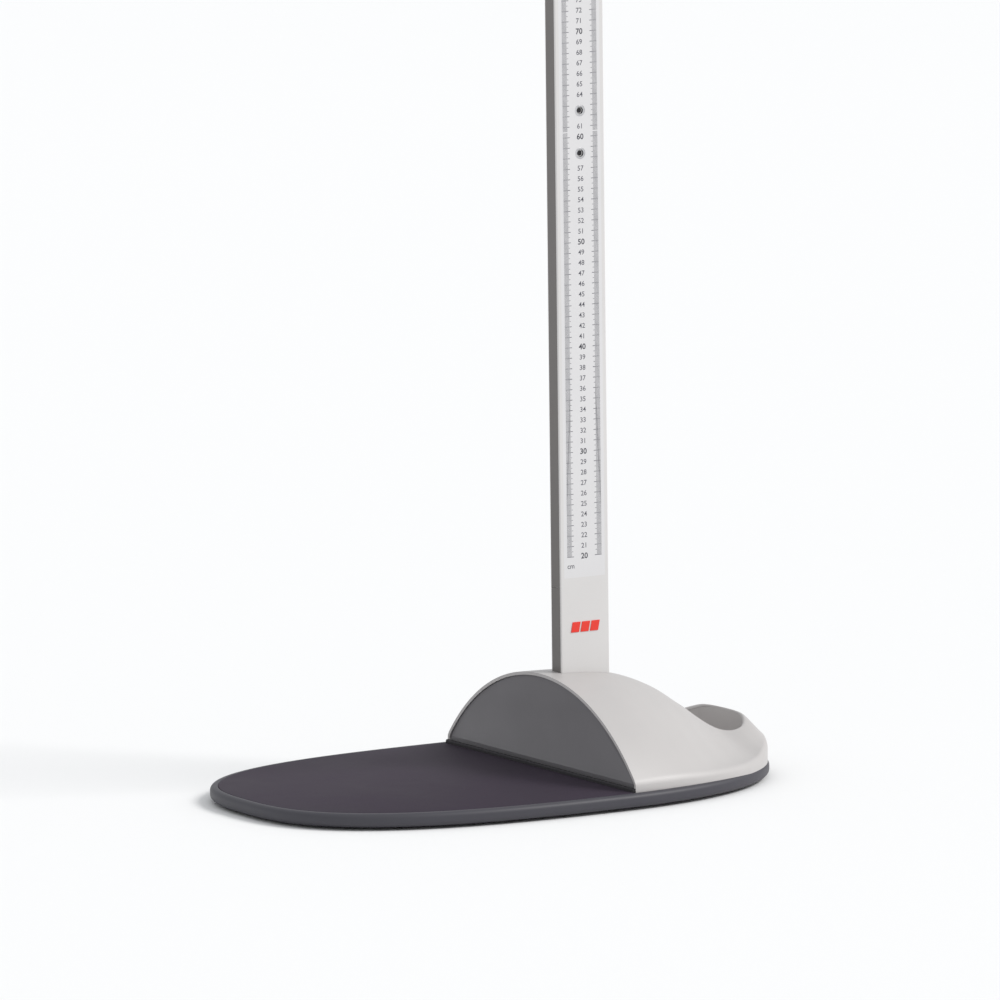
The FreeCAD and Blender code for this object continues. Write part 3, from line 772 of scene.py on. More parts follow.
@dataclass
class Plan:
    """Outline of the base: two half superellipses that meet at the widest station."""

    widest_x: float = 29.7
    front_reach: float = 305.5
    rear_reach: float = 246.1
    half_width: float = 181.5
    front_power: float = 2.73
    rear_power: float = 2.22
    mat_top: float = 16.0
    plate_top: float = 14.0

    def width_at(self, x: float, inset: float) -> float:
        """Half the width at a station.

        Args:
            x: The station.
            inset: How far the outline is drawn in.

        Returns:
            Half the width.
        """
        front = x < self.widest_x
        reach = (self.front_reach if front else self.rear_reach) - inset
        power = self.front_power if front else self.rear_power
        share = min(abs(x - self.widest_x) / reach, 1.0)
        return (self.half_width - inset) * (1.0 - share**power) ** (1.0 / power)

    def point(self, turn: float, inset: float) -> tuple[float, float]:
        """A point of the outline.

        Args:
            turn: Its angle parameter, 0 at the tail.
            inset: How far the outline is drawn in.

        Returns:
            Its plan position.
        """
        c, s = math.cos(turn), math.sin(turn)
        front = c < 0
        power = self.front_power if front else self.rear_power
        reach = (self.front_reach if front else self.rear_reach) - inset
        x = self.widest_x + math.copysign(reach * abs(c) ** (2 / power), c)
        y = math.copysign((self.half_width - inset) * abs(s) ** (2 / power), s)
        return x, y

    def loop(self, inset: float, steps: int = 360) -> list[tuple[float, float]]:
        """The whole outline, evenly spaced along its length.

        Args:
            inset: How far it is drawn in.
            steps: Number of points.

        Returns:
            Its points in order.
        """
        dense = np.array([self.point(2 * math.pi * k / 4000, inset) for k in range(4001)])
        run = np.r_[0, np.cumsum(np.hypot(*np.diff(dense, axis=0).T))]
        want = np.linspace(0, run[-1], steps + 1)[:-1]
        return [(float(np.interp(w, run, dense[:, 0])), float(np.interp(w, run, dense[:, 1]))) for w in want]


@dataclass
class Footing:
    """Edge trim, standing mat, seal bead that also paints the contact shadow at the heel panel, and pads."""

    plan: Plan
    finishes: Finishes
    pad_height: float = 3.0
    trim_width: float = 7.0
    trim_round: float = 5.0
    trim_foot_round: float = 4.5
    cover_front: float = 51.8
    seal_width: float = 2.6
    seal_round: float = 1.6
    mat_gap: float = 0.2
    groove_depth: float = 0.6

    def build(self) -> None:
        """Makes every piece of the footing."""
        self.edge_trim()
        self.standing_mat()
        self.pads()
        self.seal()

    def edge_trim(self) -> None:
        """Band round the plate with a rolled upper edge and a fine bead inside it."""
        top, low, roll = self.plan.mat_top, self.pad_height, self.trim_round
        foot = self.trim_foot_round
        section: list[tuple[float, float]] = [(self.trim_width, low)]
        for turn in quarter(7):
            section.append((foot * (1 - math.sin(turn)), low + foot * (1 - math.cos(turn))))
        for turn in quarter(8):
            section.append((roll * (1 - math.cos(turn)), top - roll * (1 - math.sin(turn))))
        bead = ((0.7, 0.0), (0.35, 0.45), (0.0, 0.6))
        section += [(self.trim_width - across, top - down) for across, down in bead]
        points: list[Point] = []
        for inset, z in section:
            points += [(x, y, z) for x, y in self.plan.loop(inset)]
        size = len(points) // len(section)
        faces = rings_to_faces(len(section), size)
        faces += [
            (k, (k + 1) % size, (len(section) - 1) * size + (k + 1) % size, (len(section) - 1) * size + k)
            for k in range(size)
        ]
        piece = mesh_object("edge_band", points, faces)
        face_outward(piece)
        smooth(piece)
        self.finishes.dress(piece, self.finishes.trim)
        fasten(piece, "base", "dark_edge", "edge_trim")

    def standing_mat(self) -> None:
        """Mat with eased edges, let in between the trim and the seal."""
        limit = self.cover_front - self.seal_width
        inset = self.trim_width + self.mat_gap
        reach = self.plan.width_at(limit, inset)
        outline = [(x, y) for x, y in self.plan.loop(inset, 480) if x < limit - 1.0]
        start = max(range(len(outline)), key=lambda k: math.dist(outline[k], outline[k - 1]))
        outline = outline[start:] + outline[:start]
        outline = [(limit, math.copysign(reach, outline[0][1]))] + outline
        outline += [(limit, math.copysign(reach, outline[-1][1]))]
        piece = prism("mat_sheet", outline, self.plan.plate_top, self.plan.mat_top)
        bevel(piece, 0.6, 3, 40)
        self.finishes.dress(piece, self.finishes.mat)
        fasten(piece, "base", "mat_rubber", "foot_mat")

    def pads(self) -> None:
        """Six round pads with a grooved underside."""
        groove = self.groove_depth
        for k in range(1, FOOT_PADS + 1):
            low, high = node_span(f"foot_pad_{k}")
            middle = (low + high) / 2
            radius = (high.x - low.x) / 2
            profile = [(0.01, groove), (3.0, groove), (3.5, 0.0), (5.5, 0.0)]
            profile += [(6.0, groove), (8.0, groove), (8.5, 0.0), (radius - 1.0, 0.0)]
            profile += [(radius - 0.3, 0.3), (radius, 1.0), (radius, high.z), (0.01, high.z)]
            piece = lathe(f"pad_{k}", profile, 48)
            placed(piece, Matrix.Translation(Vector((middle.x, middle.y, 0)) * MM))
            face_outward(piece)
            smooth(piece)
            self.finishes.dress(piece, self.finishes.seal)
            fasten(piece, "base", "seal_rubber", f"foot_pad_{k}")

    def seal(self) -> None:
        """Rounded dark bead in the corner between the mat and the heel panel, which also paints the contact
        shadow at the panel's foot.
        """
        low, high = node_span("heel_seal")
        roll = self.seal_round
        section = [(low.x, low.z), (low.x, high.z - roll)]
        for turn in quarter(6)[1:]:
            section.append((low.x + roll * (1 - math.cos(turn)), high.z - roll + roll * math.sin(turn)))
        section += [(high.x, high.z), (high.x, low.z)]
        places = [float(y) for y in np.linspace(low.y, high.y, 61)]
        piece = loft("heel_bead_and_shadow", [(x, y, z) for y in places for x, z in section], len(section))
        face_outward(piece)
        smooth(piece)
        # The dark seal rubber here also paints the contact shadow under the heel panel.
        self.finishes.dress(piece, self.finishes.seal)
        fasten(piece, "base", "seal_rubber", "heel_seal")


@dataclass
class Hood:
    """Domed foot cover, its hand recess and the heel panel."""

    plan: Plan
    finishes: Finishes
    front: float = 51.8
    insets: tuple[float, float] = (8.4, 1.4)
    flare_length: float = 150.0
    wall: float = 3.0
    stations: tuple[float, ...] = (
        *(51.8, 80.0, 110.0, 136.0, 163.0, 190.0),
        *(216.0, 238.0, 253.0, 262.0, 268.0, 273.6),
    )
    ridges: tuple[float, ...] = (90.0, 89.5, 87.4, 82.0, 71.4, 54.2, 38.5, 42.5, 44.5, 35.5, 27.0, 22.0)
    sides: tuple[float, ...] = (8.0, 9.0, 9.5, 9.5, 9.5, 9.0, 10.0, 15.0, 18.5, 19.5, 18.5, 17.5)
    slimness: tuple[float, ...] = (1.0, 1.05, 1.15, 1.35, 1.75, 2.1, 2.2, 1.8, 1.5, 1.4, 1.4, 1.4)
    shoulders: tuple[float, float] = (2.5, 7.0)
    recess_x: float = 231.7
    recess_reach: tuple[float, float] = (27.0, 58.5)
    recess_floor: float = 20.0
    cup_wall: float = 2.5
    lip: float = 4.0
    recess_blend: float = 9.0
    lining_lift: float = 0.4
    slot_gap: float = 0.3
    panel_setback: float = 1.2
    panel_thickness: float = 4.0
    panel_gap: float = 0.25
    slopes: dict[str, np.ndarray] = field(default_factory=dict)

    def build(self) -> None:
        """Makes the shell, the recess lining and the panel."""
        self.shell()
        self.recess_lining()
        self.panel()

    def along(self, name: str, x: float) -> float:
        """Smooth value of a station table, without overshoot.

        Args:
            name: The table: ridges, sides or slimness.
            x: The station.

        Returns:
            The value there.
        """
        knots = np.array(self.stations)
        values = np.array(getattr(self, name))
        if name not in self.slopes:
            steps = np.diff(values) / np.diff(knots)
            before, after = steps[:-1], steps[1:]
            inner = np.where(before * after > 0, 2 * before * after / (before + after + 1e-12), 0)
            self.slopes[name] = np.r_[steps[0] * 0.5, inner, steps[-1]]
        slope = self.slopes[name]
        x = float(np.clip(x, knots[0], knots[-1]))
        k = min(int(np.searchsorted(knots, x, side="right")) - 1, len(knots) - 2)
        span = knots[k + 1] - knots[k]
        t = (x - knots[k]) / span
        rise, fall = 3 * t**2 - 2 * t**3, 1 - 3 * t**2 + 2 * t**3
        return float(
            fall * values[k]
            + rise * values[k + 1]
            + span * (t**3 - 2 * t**2 + t) * slope[k]
            + span * (t**3 - t**2) * slope[k + 1]
        )

    def flare(self, x: float) -> float:
        """Share of the way from the open front to the full flare at the tail."""
        return min(max((x - self.front) / self.flare_length, 0.0), 1.0)

    def inset(self, x: float) -> float:
        """How far the cover's edge stands in from the base outline at a station."""
        return self.insets[0] + (self.insets[1] - self.insets[0]) * self.flare(x)

    def arch(self, x: float, y: float, shrink: float = 0.0) -> float:
        """Height of the arch before its shoulder is rounded.

        Args:
            x: The station.
            y: The place across.
            shrink: How far the arch is drawn in.

        Returns:
            The height above the floor.
        """
        reach = max(self.plan.width_at(x, self.inset(x)) - shrink, 1.0)
        side = self.along("sides", x) - 0.3 * shrink
        rise = max(self.along("ridges", x) - shrink - side, 0.5)
        radius = (reach**2 + rise**2) / (2 * rise)
        across = min(abs(y), reach)
        share = max((math.sqrt(radius**2 - across**2) - (radius - rise)) / rise, 0.0)
        return self.plan.mat_top + side + rise * share ** self.along("slimness", x)

    def top(self, x: float, y: float) -> float:
        """Height of the outer surface, with its shoulder rounded over.

        Args:
            x: The station.
            y: The place across.

        Returns:
            The height above the floor.
        """
        edge = self.plan.width_at(x, self.inset(x)) - abs(y)
        tail = self.plan.widest_x + self.plan.rear_reach - self.insets[1] - x
        near = max(min(edge, tail), 0.0)
        shoulder = self.shoulders[0] + (self.shoulders[1] - self.shoulders[0]) * self.flare(x)
        drop = 0.0
        if near < shoulder:
            drop = shoulder - math.sqrt(shoulder**2 - (shoulder - near) ** 2)
        return max(self.arch(x, y) - drop, self.plan.plate_top + 2.0)

    def boundary(self) -> list[tuple[float, float, bool]]:
        """Plan edge of the cover.

        Returns:
            Its points in order, each with whether it lies on the open front.
        """
        flared = self.front + self.flare_length
        tail = [p for p in self.plan.loop(self.insets[1], 900) if p[0] > flared]
        tail.sort(key=lambda p: math.atan2(p[1], p[0] - self.recess_x))
        flank = [(x, self.plan.width_at(x, self.inset(x))) for x in np.linspace(flared, self.front, 76)]
        rear = [(x, -y) for x, y in flank[::-1]] + tail + flank
        across = 72
        reach = flank[-1][1]
        front = [(self.front, reach * math.sin(math.pi / 2 * (1 - 2 * k / across))) for k in range(1, across)]
        edge = [(float(x), float(y), x < self.front + 0.01) for x, y in rear]
        return edge + [(x, y, True) for x, y in front]

    def shell(self) -> None:
        """Outer skin by rings from the hand opening out to the edge, thickened inwards."""
        rim = self.boundary()
        size = len(rim)
        points: list[Point] = []
        ends: list[tuple[float, float]] = []
        reach_x, reach_y = self.recess_reach
        for x, y, _ in rim:
            turn = math.atan2(y / reach_y, (x - self.recess_x) / reach_x)
            ends.append((math.cos(turn), math.sin(turn)))
        for turn in quarter(6):
            out, drop = self.lip * (1 - math.cos(turn)), self.lip * (1 - math.sin(turn))
            for c, s in ends:
                x = self.recess_x + (reach_x + out) * c
                y = (reach_y + out) * s
                points.append((x, y, self.top(x, y) - drop))
        even = 0.94
        shares = [float(t) for t in np.linspace(0, even, 44)[1:]]
        shares += [even + (1 - even) * (1 - (1 - float(t)) ** 2) for t in np.linspace(0, 1, 12)[1:]]
        for share in shares:
            for (c, s), (bx, by, _) in zip(ends, rim):
                x0 = self.recess_x + (reach_x + self.lip) * c
                y0 = (reach_y + self.lip) * s
                x = x0 + (bx - x0) * share
                y = y0 + (by - y0) * share
                points.append((x, y, self.top(x, y)))
        faces = rings_to_faces(len(points) // size, size)
        foot = len(points)
        edge = foot - size
        points += [(bx, by, self.plan.plate_top) for bx, by, _ in rim]
        for k in range(size):
            after = (k + 1) % size
            if not (rim[k][2] and rim[after][2]):
                faces.append((edge + k, edge + after, foot + after, foot + k))
        piece = mesh_object("cover_shell", points, faces)
        face_upward(piece, highest=True)
        self.cut_column_slot(piece)
        thicken(piece, self.wall)
        smooth(piece, 38)
        self.finishes.dress(piece, self.finishes.shell)
        fasten(piece, "base", "white_plastic", "base_cover")

    def cut_column_slot(self, piece: bpy.types.Object) -> None:
        """Opens the skin where the column passes through it.

        Args:
            piece: The cover's skin.
        """
        low, high = node_span("column_1")
        gap = self.slot_gap
        work = bmesh.new()
        work.from_mesh(piece.data)
        planes = (
            ((low.x - gap) * MM, Vector((1, 0, 0))),
            ((high.x + gap) * MM, Vector((1, 0, 0))),
            ((low.y - gap) * MM, Vector((0, 1, 0))),
            ((high.y + gap) * MM, Vector((0, 1, 0))),
        )
        margin = 14 * MM
        for value, normal in planes:
            nearby = [
                f
                for f in work.faces
                if low.x * MM - margin < f.calc_center_median().x < high.x * MM + margin
                and low.y * MM - margin < f.calc_center_median().y < high.y * MM + margin
            ]
            geometry = list({g for f in nearby for g in (*f.verts, *f.edges, f)})
            bmesh.ops.bisect_plane(work, geom=geometry, plane_co=normal * value, plane_no=normal, dist=1e-7)
        inside = [
            f
            for f in work.faces
            if (low.x - gap) * MM < f.calc_center_median().x < (high.x + gap) * MM
            and (low.y - gap) * MM < f.calc_center_median().y < (high.y + gap) * MM
        ]
        bmesh.ops.delete(work, geom=inside, context="FACES")
        work.to_mesh(piece.data)
        work.free()

    def recess_lining(self) -> None:
        """Cup inside the hand opening, with a dished floor."""
        reach_x, reach_y = self.recess_reach
        steps = 160
        blend = self.recess_blend
        floor = self.recess_floor + self.lining_lift
        circle = [(math.cos(turn), math.sin(turn)) for turn in ring_turns(steps)]
        points: list[Point] = []
        for share in (0.02, 0.4, 0.75):
            wide, deep = (reach_x - blend) * share, (reach_y - blend) * share
            points += [(self.recess_x + wide * c, deep * s, floor) for c, s in circle]
        for turn in quarter(9):
            inset = 0.6 + blend - blend * math.sin(turn)
            height = floor + blend - blend * math.cos(turn)
            wide, deep = reach_x - inset, reach_y - inset
            points += [(self.recess_x + wide * c, deep * s, height) for c, s in circle]
        foot = floor + blend
        for share in (0.35, 0.7, 1.0):
            for c, s in circle:
                x, y = self.recess_x + (reach_x - 0.2) * c, (reach_y - 0.2) * s
                points.append((x, y, foot + (self.top(x, y) - self.lip - 0.3 - foot) * share))
        faces = rings_to_faces(len(points) // steps, steps)
        faces.append(tuple(range(steps)))
        piece = mesh_object("recess_lining", points, faces)
        face_upward(piece, highest=False)
        thicken(piece, self.cup_wall)
        smooth(piece, 45)
        self.finishes.dress(piece, self.finishes.shell)
        fasten(piece, "base", "white_plastic", "grip_cup")

    def panel(self) -> None:
        """Half-round heel panel with an eased edge, set back inside the rim."""
        shrink = self.wall + self.panel_gap
        x0 = self.front + self.panel_setback
        reach = self.plan.width_at(self.front, self.insets[0]) - shrink
        count = 140
        outline = [(-reach, self.plan.plate_top)]
        for k in range(count + 1):
            y = -reach * math.cos(math.pi * k / count)
            outline.append((y, self.arch(self.front, y, shrink)))
        outline.append((reach, self.plan.plate_top))
        points = [(x, y, z) for x in (x0, x0 + self.panel_thickness) for y, z in outline]
        piece = loft("heel_shield", points, len(outline))
        bevel(piece, 0.8, 3, 50)
        # The panel's mid grey is partly its own colour and partly painted shade of its front face.
        self.finishes.dress(piece, self.finishes.panel)
        fasten(piece, "base", "grey_plastic", "heel_panel")


# ---------------------------------------------------------------- the column


class Weight(Enum):
    """Weight of a printed number: height in millimetres and stroke growth."""

    LIGHT = (5.0, 0.05)
    BOLD = (5.6, 0.14)


@dataclass
class Rule:
    """Printed ticks and numbers of the centimetre rule, on one film for each section."""

    finishes: Finishes
    datum: float = 16.0
    first: int = 200
    last: int = 2065
    tick_reach: tuple[float, float] = (11.5, 19.0)
    tick_width: float = 0.38
    tick_lift: float = 0.05
    label_first: int = 20
    label_last: int = 206
    screw_clear: float = 9.5
    unit_place: tuple[float, float] = (15.0, 9.0)

    def build(self) -> None:
        """Makes the ticks, the numbers and the unit."""
        for k in range(1, COLUMN_SECTIONS + 1):
            low, high = node_span(f"rule_{k}")
            self.ticks(k, low, high)
            self.numbers(k, low, high)
        self.unit_mark()

    def screw_levels(self) -> list[float]:
        """Heights of the splice screws."""
        spans = [node_span(f"splice_screw_{k}") for k in range(1, SPLICE_SCREWS + 1)]
        return [(low.z + high.z) / 2 for low, high in spans]

    def ticks(self, index: int, low: Vector, high: Vector) -> None:
        """Millimetre ticks in two columns, longer at 5 and 10.

        Args:
            index: Number of the section.
            low: Lowest corner of the film.
            high: Highest corner.
        """
        middle = (low.x + high.x) / 2
        points: list[Point] = []
        faces: list[tuple[int, ...]] = []
        near, far = self.tick_reach
        five_step, one_step, wide = 0.9, 2.4, 1.5
        for value in range(self.first, self.last + 1):
            z = self.datum + value
            if not low.z + 0.4 < z < high.z - 0.4:
                continue
            reach = near if value % 10 == 0 else near + five_step if value % 5 == 0 else near + one_step
            half = self.tick_width / 2 * (wide if value % 10 == 0 else 1.0)
            for side in (-1, 1):
                self.bar(points, faces, middle + side * reach, middle + side * far, z - half, z + half, low.y)
        piece = mesh_object(f"rule_ticks_{index}", points, faces)
        face_outward(piece)
        self.finishes.dress(piece, self.finishes.ink)
        fasten(piece, "base", "rule_film")

    def bar(
        self,
        points: list[Point],
        faces: list[tuple[int, ...]],
        x0: float,
        x1: float,
        z0: float,
        z1: float,
        face: float,
    ) -> None:
        """Adds one thin printed bar.

        Args:
            points: Corners so far.
            faces: Faces so far.
            x0: One end.
            x1: Other end.
            z0: Lower edge.
            z1: Upper edge.
            face: The surface it is printed on.
        """
        start = len(points)
        for y in (face + 0.1, face - self.tick_lift):
            points += [(x0, y, z0), (x1, y, z0), (x1, y, z1), (x0, y, z1)]
        faces += block_faces(start)

    def numbers(self, index: int, low: Vector, high: Vector) -> None:
        """Number at each centimetre, bold at each ten.

        Args:
            index: Number of the section.
            low: Lowest corner of the film.
            high: Highest corner.
        """
        screws = self.screw_levels()
        for weight, tens in ((Weight.LIGHT, False), (Weight.BOLD, True)):
            meshes: list[bpy.types.Object] = []
            for value in range(self.label_first, self.label_last + 1):
                z = self.datum + 10 * value
                if (value % 10 == 0) != tens or not low.z + 4 < z < high.z - 4:
                    continue
                if any(abs(z - screw) < self.screw_clear for screw in screws):
                    continue
                meshes.append(self.text(str(value), weight, (low.x + high.x) / 2, z, low.y))
            piece = self.joined(meshes, f"rule_numbers_{index}_{weight.name.lower()}")
            self.finishes.dress(piece, self.finishes.bold_ink if tens else self.finishes.ink)
            fasten(piece, "base", "rule_film")

    def text(self, words: str, weight: Weight, x: float, z: float, face: float) -> bpy.types.Object:
        """Thin printed number.

        Args:
            words: The number.
            weight: Its size and stroke.
            x: Its middle across.
            z: Its middle up.
            face: The surface it is printed on.

        Returns:
            A mesh object.
        """
        height, stroke = weight.value
        curve = bpy.data.curves.new("number", "FONT")
        curve.body = words
        curve.align_x = "CENTER"
        curve.align_y = "CENTER"
        curve.size = height * 1.35 * MM
        curve.offset = stroke * MM
        curve.extrude = self.tick_lift * MM
        curve.resolution_u = 3
        maker = bpy.data.objects.new("number", curve)
        bpy.context.scene.collection.objects.link(maker)
        mesh = bpy.data.meshes.new_from_object(maker.evaluated_get(bpy.context.evaluated_depsgraph_get()))
        bpy.data.objects.remove(maker)
        turn = Matrix.Rotation(math.radians(90), 4, "X")
        squeeze = Matrix.Diagonal((0.82 if len(words) > 2 else 1.0, 1.0, 1.0, 1.0))
        mesh.transform(Matrix.Translation(Vector((x, face, z)) * MM) @ turn @ squeeze)
        piece = bpy.data.objects.new("number", mesh)
        bpy.context.scene.collection.objects.link(piece)
        return piece

    def joined(self, pieces: list[bpy.types.Object], name: str) -> bpy.types.Object:
        """Joins pieces into one.

        Args:
            pieces: The objects to join.
            name: Name of the result.

        Returns:
            The joined object.
        """
        work = bmesh.new()
        for piece in pieces:
            work.from_mesh(piece.data)
            bpy.data.objects.remove(piece)
        mesh = bpy.data.meshes.new(name)
        work.to_mesh(mesh)
        work.free()
        result = bpy.data.objects.new(name, mesh)
        bpy.context.scene.collection.objects.link(result)
        return result

    def unit_mark(self) -> None:
        """The unit below the left ticks."""
        low, high = node_span("rule_1")
        aside, below = self.unit_place
        x, z = (low.x + high.x) / 2 - aside, self.datum + self.first - below
        mark = self.text("cm", Weight.LIGHT, x, z, low.y)
        piece = self.joined([mark], "rule_unit")
        self.finishes.dress(piece, self.finishes.ink)
        fasten(piece, "base", "rule_film")


@dataclass
class Column:
    """Splice screws and badge of the column."""

    finishes: Finishes
    head_radius: float = 5.5
    socket_radius: float = 3.3

    def build(self) -> None:
        """Makes the screws and the badge."""
        self.screws()
        self.badge()

    def screws(self) -> None:
        """Socket screws, chamfered, with a dark six-sided socket."""
        for k in range(1, SPLICE_SCREWS + 1):
            low, high = node_span(f"splice_screw_{k}")
            middle = (low + high) / 2
            self.screw(f"joint_screw_{k}", k, middle.x, low.y, middle.z)

    def screw(self, name: str, index: int, x: float, face: float, z: float) -> None:
        """One socket screw.

        Args:
            name: Name of the piece.
            index: Number of the CAD screw it stands for.
            x: Its middle across.
            face: The surface it is level with.
            z: Its middle up.
        """
        steps = 48
        rings: list[list[Point]] = []
        round_rings = ((self.head_radius, 2.0), (self.head_radius, 0.25), (self.head_radius - 0.35, 0.0))
        for radius, depth in (*round_rings, (self.socket_radius + 0.9, 0.0)):
            rings.append([(radius * math.cos(a), depth, radius * math.sin(a)) for a in ring_turns(steps)])
        for grow, depth in ((0.35, 0.0), (0.0, 0.35), (0.0, 2.4), (-1.4, 2.9)):
            rings.append(
                [
                    (r * math.cos(a), depth, r * math.sin(a))
                    for a in ring_turns(steps)
                    for r in (self.hexagon(a, self.socket_radius + grow),)
                ]
            )
        piece = loft(name, [point for ring in rings for point in ring], steps)
        placed(piece, Matrix.Translation(Vector((x, face, z)) * MM))
        face_outward(piece)
        smooth(piece, 30)
        piece.data.materials.append(self.finishes.zinc)
        piece.data.materials.append(self.finishes.socket)
        for polygon in piece.data.polygons:
            middle = polygon.center
            inner = math.hypot(middle.x - x * MM, middle.z - z * MM) < (self.socket_radius + 0.15) * MM
            if inner:
                polygon.material_index = 1
        fasten(piece, "base", "screw_steel", f"splice_screw_{index}")

    def hexagon(self, turn: float, radius: float) -> float:
        """Distance to a hexagon's side at an angle."""
        sixth = math.pi / 3
        return radius * math.cos(sixth / 2) / math.cos((turn % sixth) - sixth / 2) * 1.08

    def badge(self) -> None:
        """Three plain slanted red bars, side by side."""
        low, high = node_span("badge")
        margin = 0.6
        slant = 2.0
        count = 3
        gap = 1.6
        width = (high.x - low.x - slant - gap * (count - 1)) / count
        points: list[Point] = []
        faces: list[tuple[int, ...]] = []
        for k in range(count):
            x0 = low.x + k * (width + gap)
            start = len(points)
            for y in (high.y, low.y):
                points += [
                    (x0, y, low.z + margin),
                    (x0 + width, y, low.z + margin),
                    (x0 + width + slant, y, high.z - margin),
                    (x0 + slant, y, high.z - margin),
                ]
            faces += block_faces(start)
        piece = mesh_object("red_badge", points, faces)
        bevel(piece, 0.25, 2)
        self.finishes.dress(piece, self.finishes.mark)
        fasten(piece, "base", "red_mark", "badge")


# ---------------------------------------------------------------- the head slide


@dataclass
class HeadSlide:
    """Head plate, release button and return spring of the slide."""

    finishes: Finishes
    knuckle: float = 7.5
    knuckle_half: float = 11.8
    pin_hole: float = 3.05
    edge_roll: float = 2.4
    ease_run: float = 22.0
    thickness: float = 8.0
    neck: float = 24.0
    flare: float = 26.0
    corner: float = 34.0
    spring_wire: float = 0.6
    spring_turns: int = 6
    button_travel: float = 4.0

    def build(self) -> None:
        """Makes the pieces that have their own meshes."""
        self.head_plate()
        self.button()
        self.spring()

    def head_plate(self) -> None:
        """Paddle with rolled edges, a dished upper face and a knuckle for the pin."""
        low, high = node_span("head_plate")
        pin_low, pin_high = node_span("hinge_pin")
        pin = (pin_low + pin_high) / 2
        start = pin.x - self.knuckle - 2.0
        half = high.y
        flare = start - self.flare
        side = [(low.x, half * share) for share in np.linspace(0, 1 - self.corner / half, 8)]
        side += [
            (low.x + self.corner * (1 - math.cos(turn)), half - self.corner * (1 - math.sin(turn)))
            for turn in np.linspace(0, math.pi / 2, 17)[1:]
        ]
        side += [(float(x), half) for x in np.linspace(low.x + self.corner, flare, 8)[1:]]
        side += [
            (flare + (start - flare) * t, half + (self.neck - half) * (3 * t**2 - 2 * t**3))
            for t in np.linspace(0, 1, 22)[1:]
        ]
        side += [(start, float(y)) for y in np.linspace(self.neck, 0, 6)[1:]]
        plan = np.array(side + [(x, -y) for x, y in side[-2:0:-1]])
        ahead, behind = np.roll(plan, -1, axis=0), np.roll(plan, 1, axis=0)
        along = ahead - behind
        inward = np.c_[along[:, 1], -along[:, 0]] / np.hypot(along[:, 0], along[:, 1])[:, None]
        ease_in = np.clip(0.1 + (start - 4.0 - plan[:, :1]) / self.ease_run, 0.1, 1.0)
        points: list[Point] = []
        for shrink, z in self.edge_levels(low.z):
            points += [(float(x), float(y), z) for x, y in plan + inward * (shrink * ease_in)]
        paddle = loft("head_paddle", points, len(plan))
        face_outward(paddle)
        smooth(paddle, 40)
        self.finishes.dress(paddle, self.finishes.shell)
        fasten(paddle, "head", "white_plastic", "head_plate")
        self.hinge_root(pin, start)

    def edge_levels(self, base: float) -> list[tuple[float, float]]:
        """Section of the paddle's edge, from its underside to its dished top.

        Args:
            base: Height of the underside.

        Returns:
            Inset and height of each ring.
        """
        roll = self.edge_roll
        crown = base + self.thickness
        levels = [(6.0, base), (roll, base)]
        levels += [(roll * (1 - math.sin(t)), base + roll * (1 - math.cos(t))) for t in quarter(5)[1:]]
        levels += [(roll * (1 - math.cos(t)), crown - roll + roll * math.sin(t)) for t in quarter(5)[1:]]
        return levels + [(4.6, crown), (5.2, crown - 0.2), (6.2, crown - 1.0), (7.0, crown - 1.2)]

    def hinge_root(self, pin: Vector, start: float) -> None:
        """Barrel round the pin and the root that joins it to the paddle.

        Args:
            pin: Middle of the hinge pin.
            start: Where the paddle begins.
        """
        half = self.knuckle_half
        steps = 64
        points: list[Point] = []
        hole, rim = self.pin_hole, self.knuckle
        for y, radius in ((-half, hole), (-half, rim), (half, rim), (half, hole)):
            for turn in ring_turns(steps):
                points.append((pin.x + radius * math.cos(turn), y, pin.z + radius * math.sin(turn)))
        faces = rings_to_faces(4, steps)
        faces += [(3 * steps + k, 3 * steps + (k + 1) % steps, (k + 1) % steps, k) for k in range(steps)]
        barrel = mesh_object("head_knuckle", points, faces)
        bevel(barrel, 0.5, 3, 50)
        self.finishes.dress(barrel, self.finishes.shell)
        fasten(barrel, "head", "white_plastic")
        base = pin.z - 8.0
        inner = start - 3.0
        section = [(inner, base), (pin.x + 7.4, base), (pin.x + 7.4, base + 2.0), (pin.x + 6.4, base + 4.0)]
        section += [(pin.x + 5.0, base + 5.6), (pin.x - 5.0, base + 6.2), (inner, base + 7.0)]
        root = loft("head_root", [(x, y, z) for y in (-half, half) for x, z in section], len(section))
        bevel(root, 0.6, 3)
        self.finishes.dress(root, self.finishes.shell)
        fasten(root, "head", "white_plastic")

    def button(self) -> None:
        """Release button with grip ridges."""
        low, high = node_span("brake_button")
        ridges = 5
        outline = [(low.y, low.z), (low.y, high.z - 1.8), (low.y + 1.0, high.z - 0.9)]
        pitch = (high.y - low.y - 4.0) / ridges
        for k in range(ridges):
            y = low.y + 2.0 + pitch * k
            outline += [(y, high.z - 0.8), (y + pitch * 0.25, high.z), (y + pitch * 0.6, high.z)]
            outline += [(y + pitch * 0.85, high.z - 0.8)]
        outline += [(high.y - 1.0, high.z - 0.9), (high.y, high.z - 1.8), (high.y, low.z)]
        points = [(x, y, z) for x in (low.x, high.x) for y, z in outline]
        piece = loft("release_button", points, len(outline))
        bevel(piece, 0.3, 2, 40)
        self.finishes.dress(piece, self.finishes.button)
        fasten(piece, "button", "grey_plastic", "brake_button")

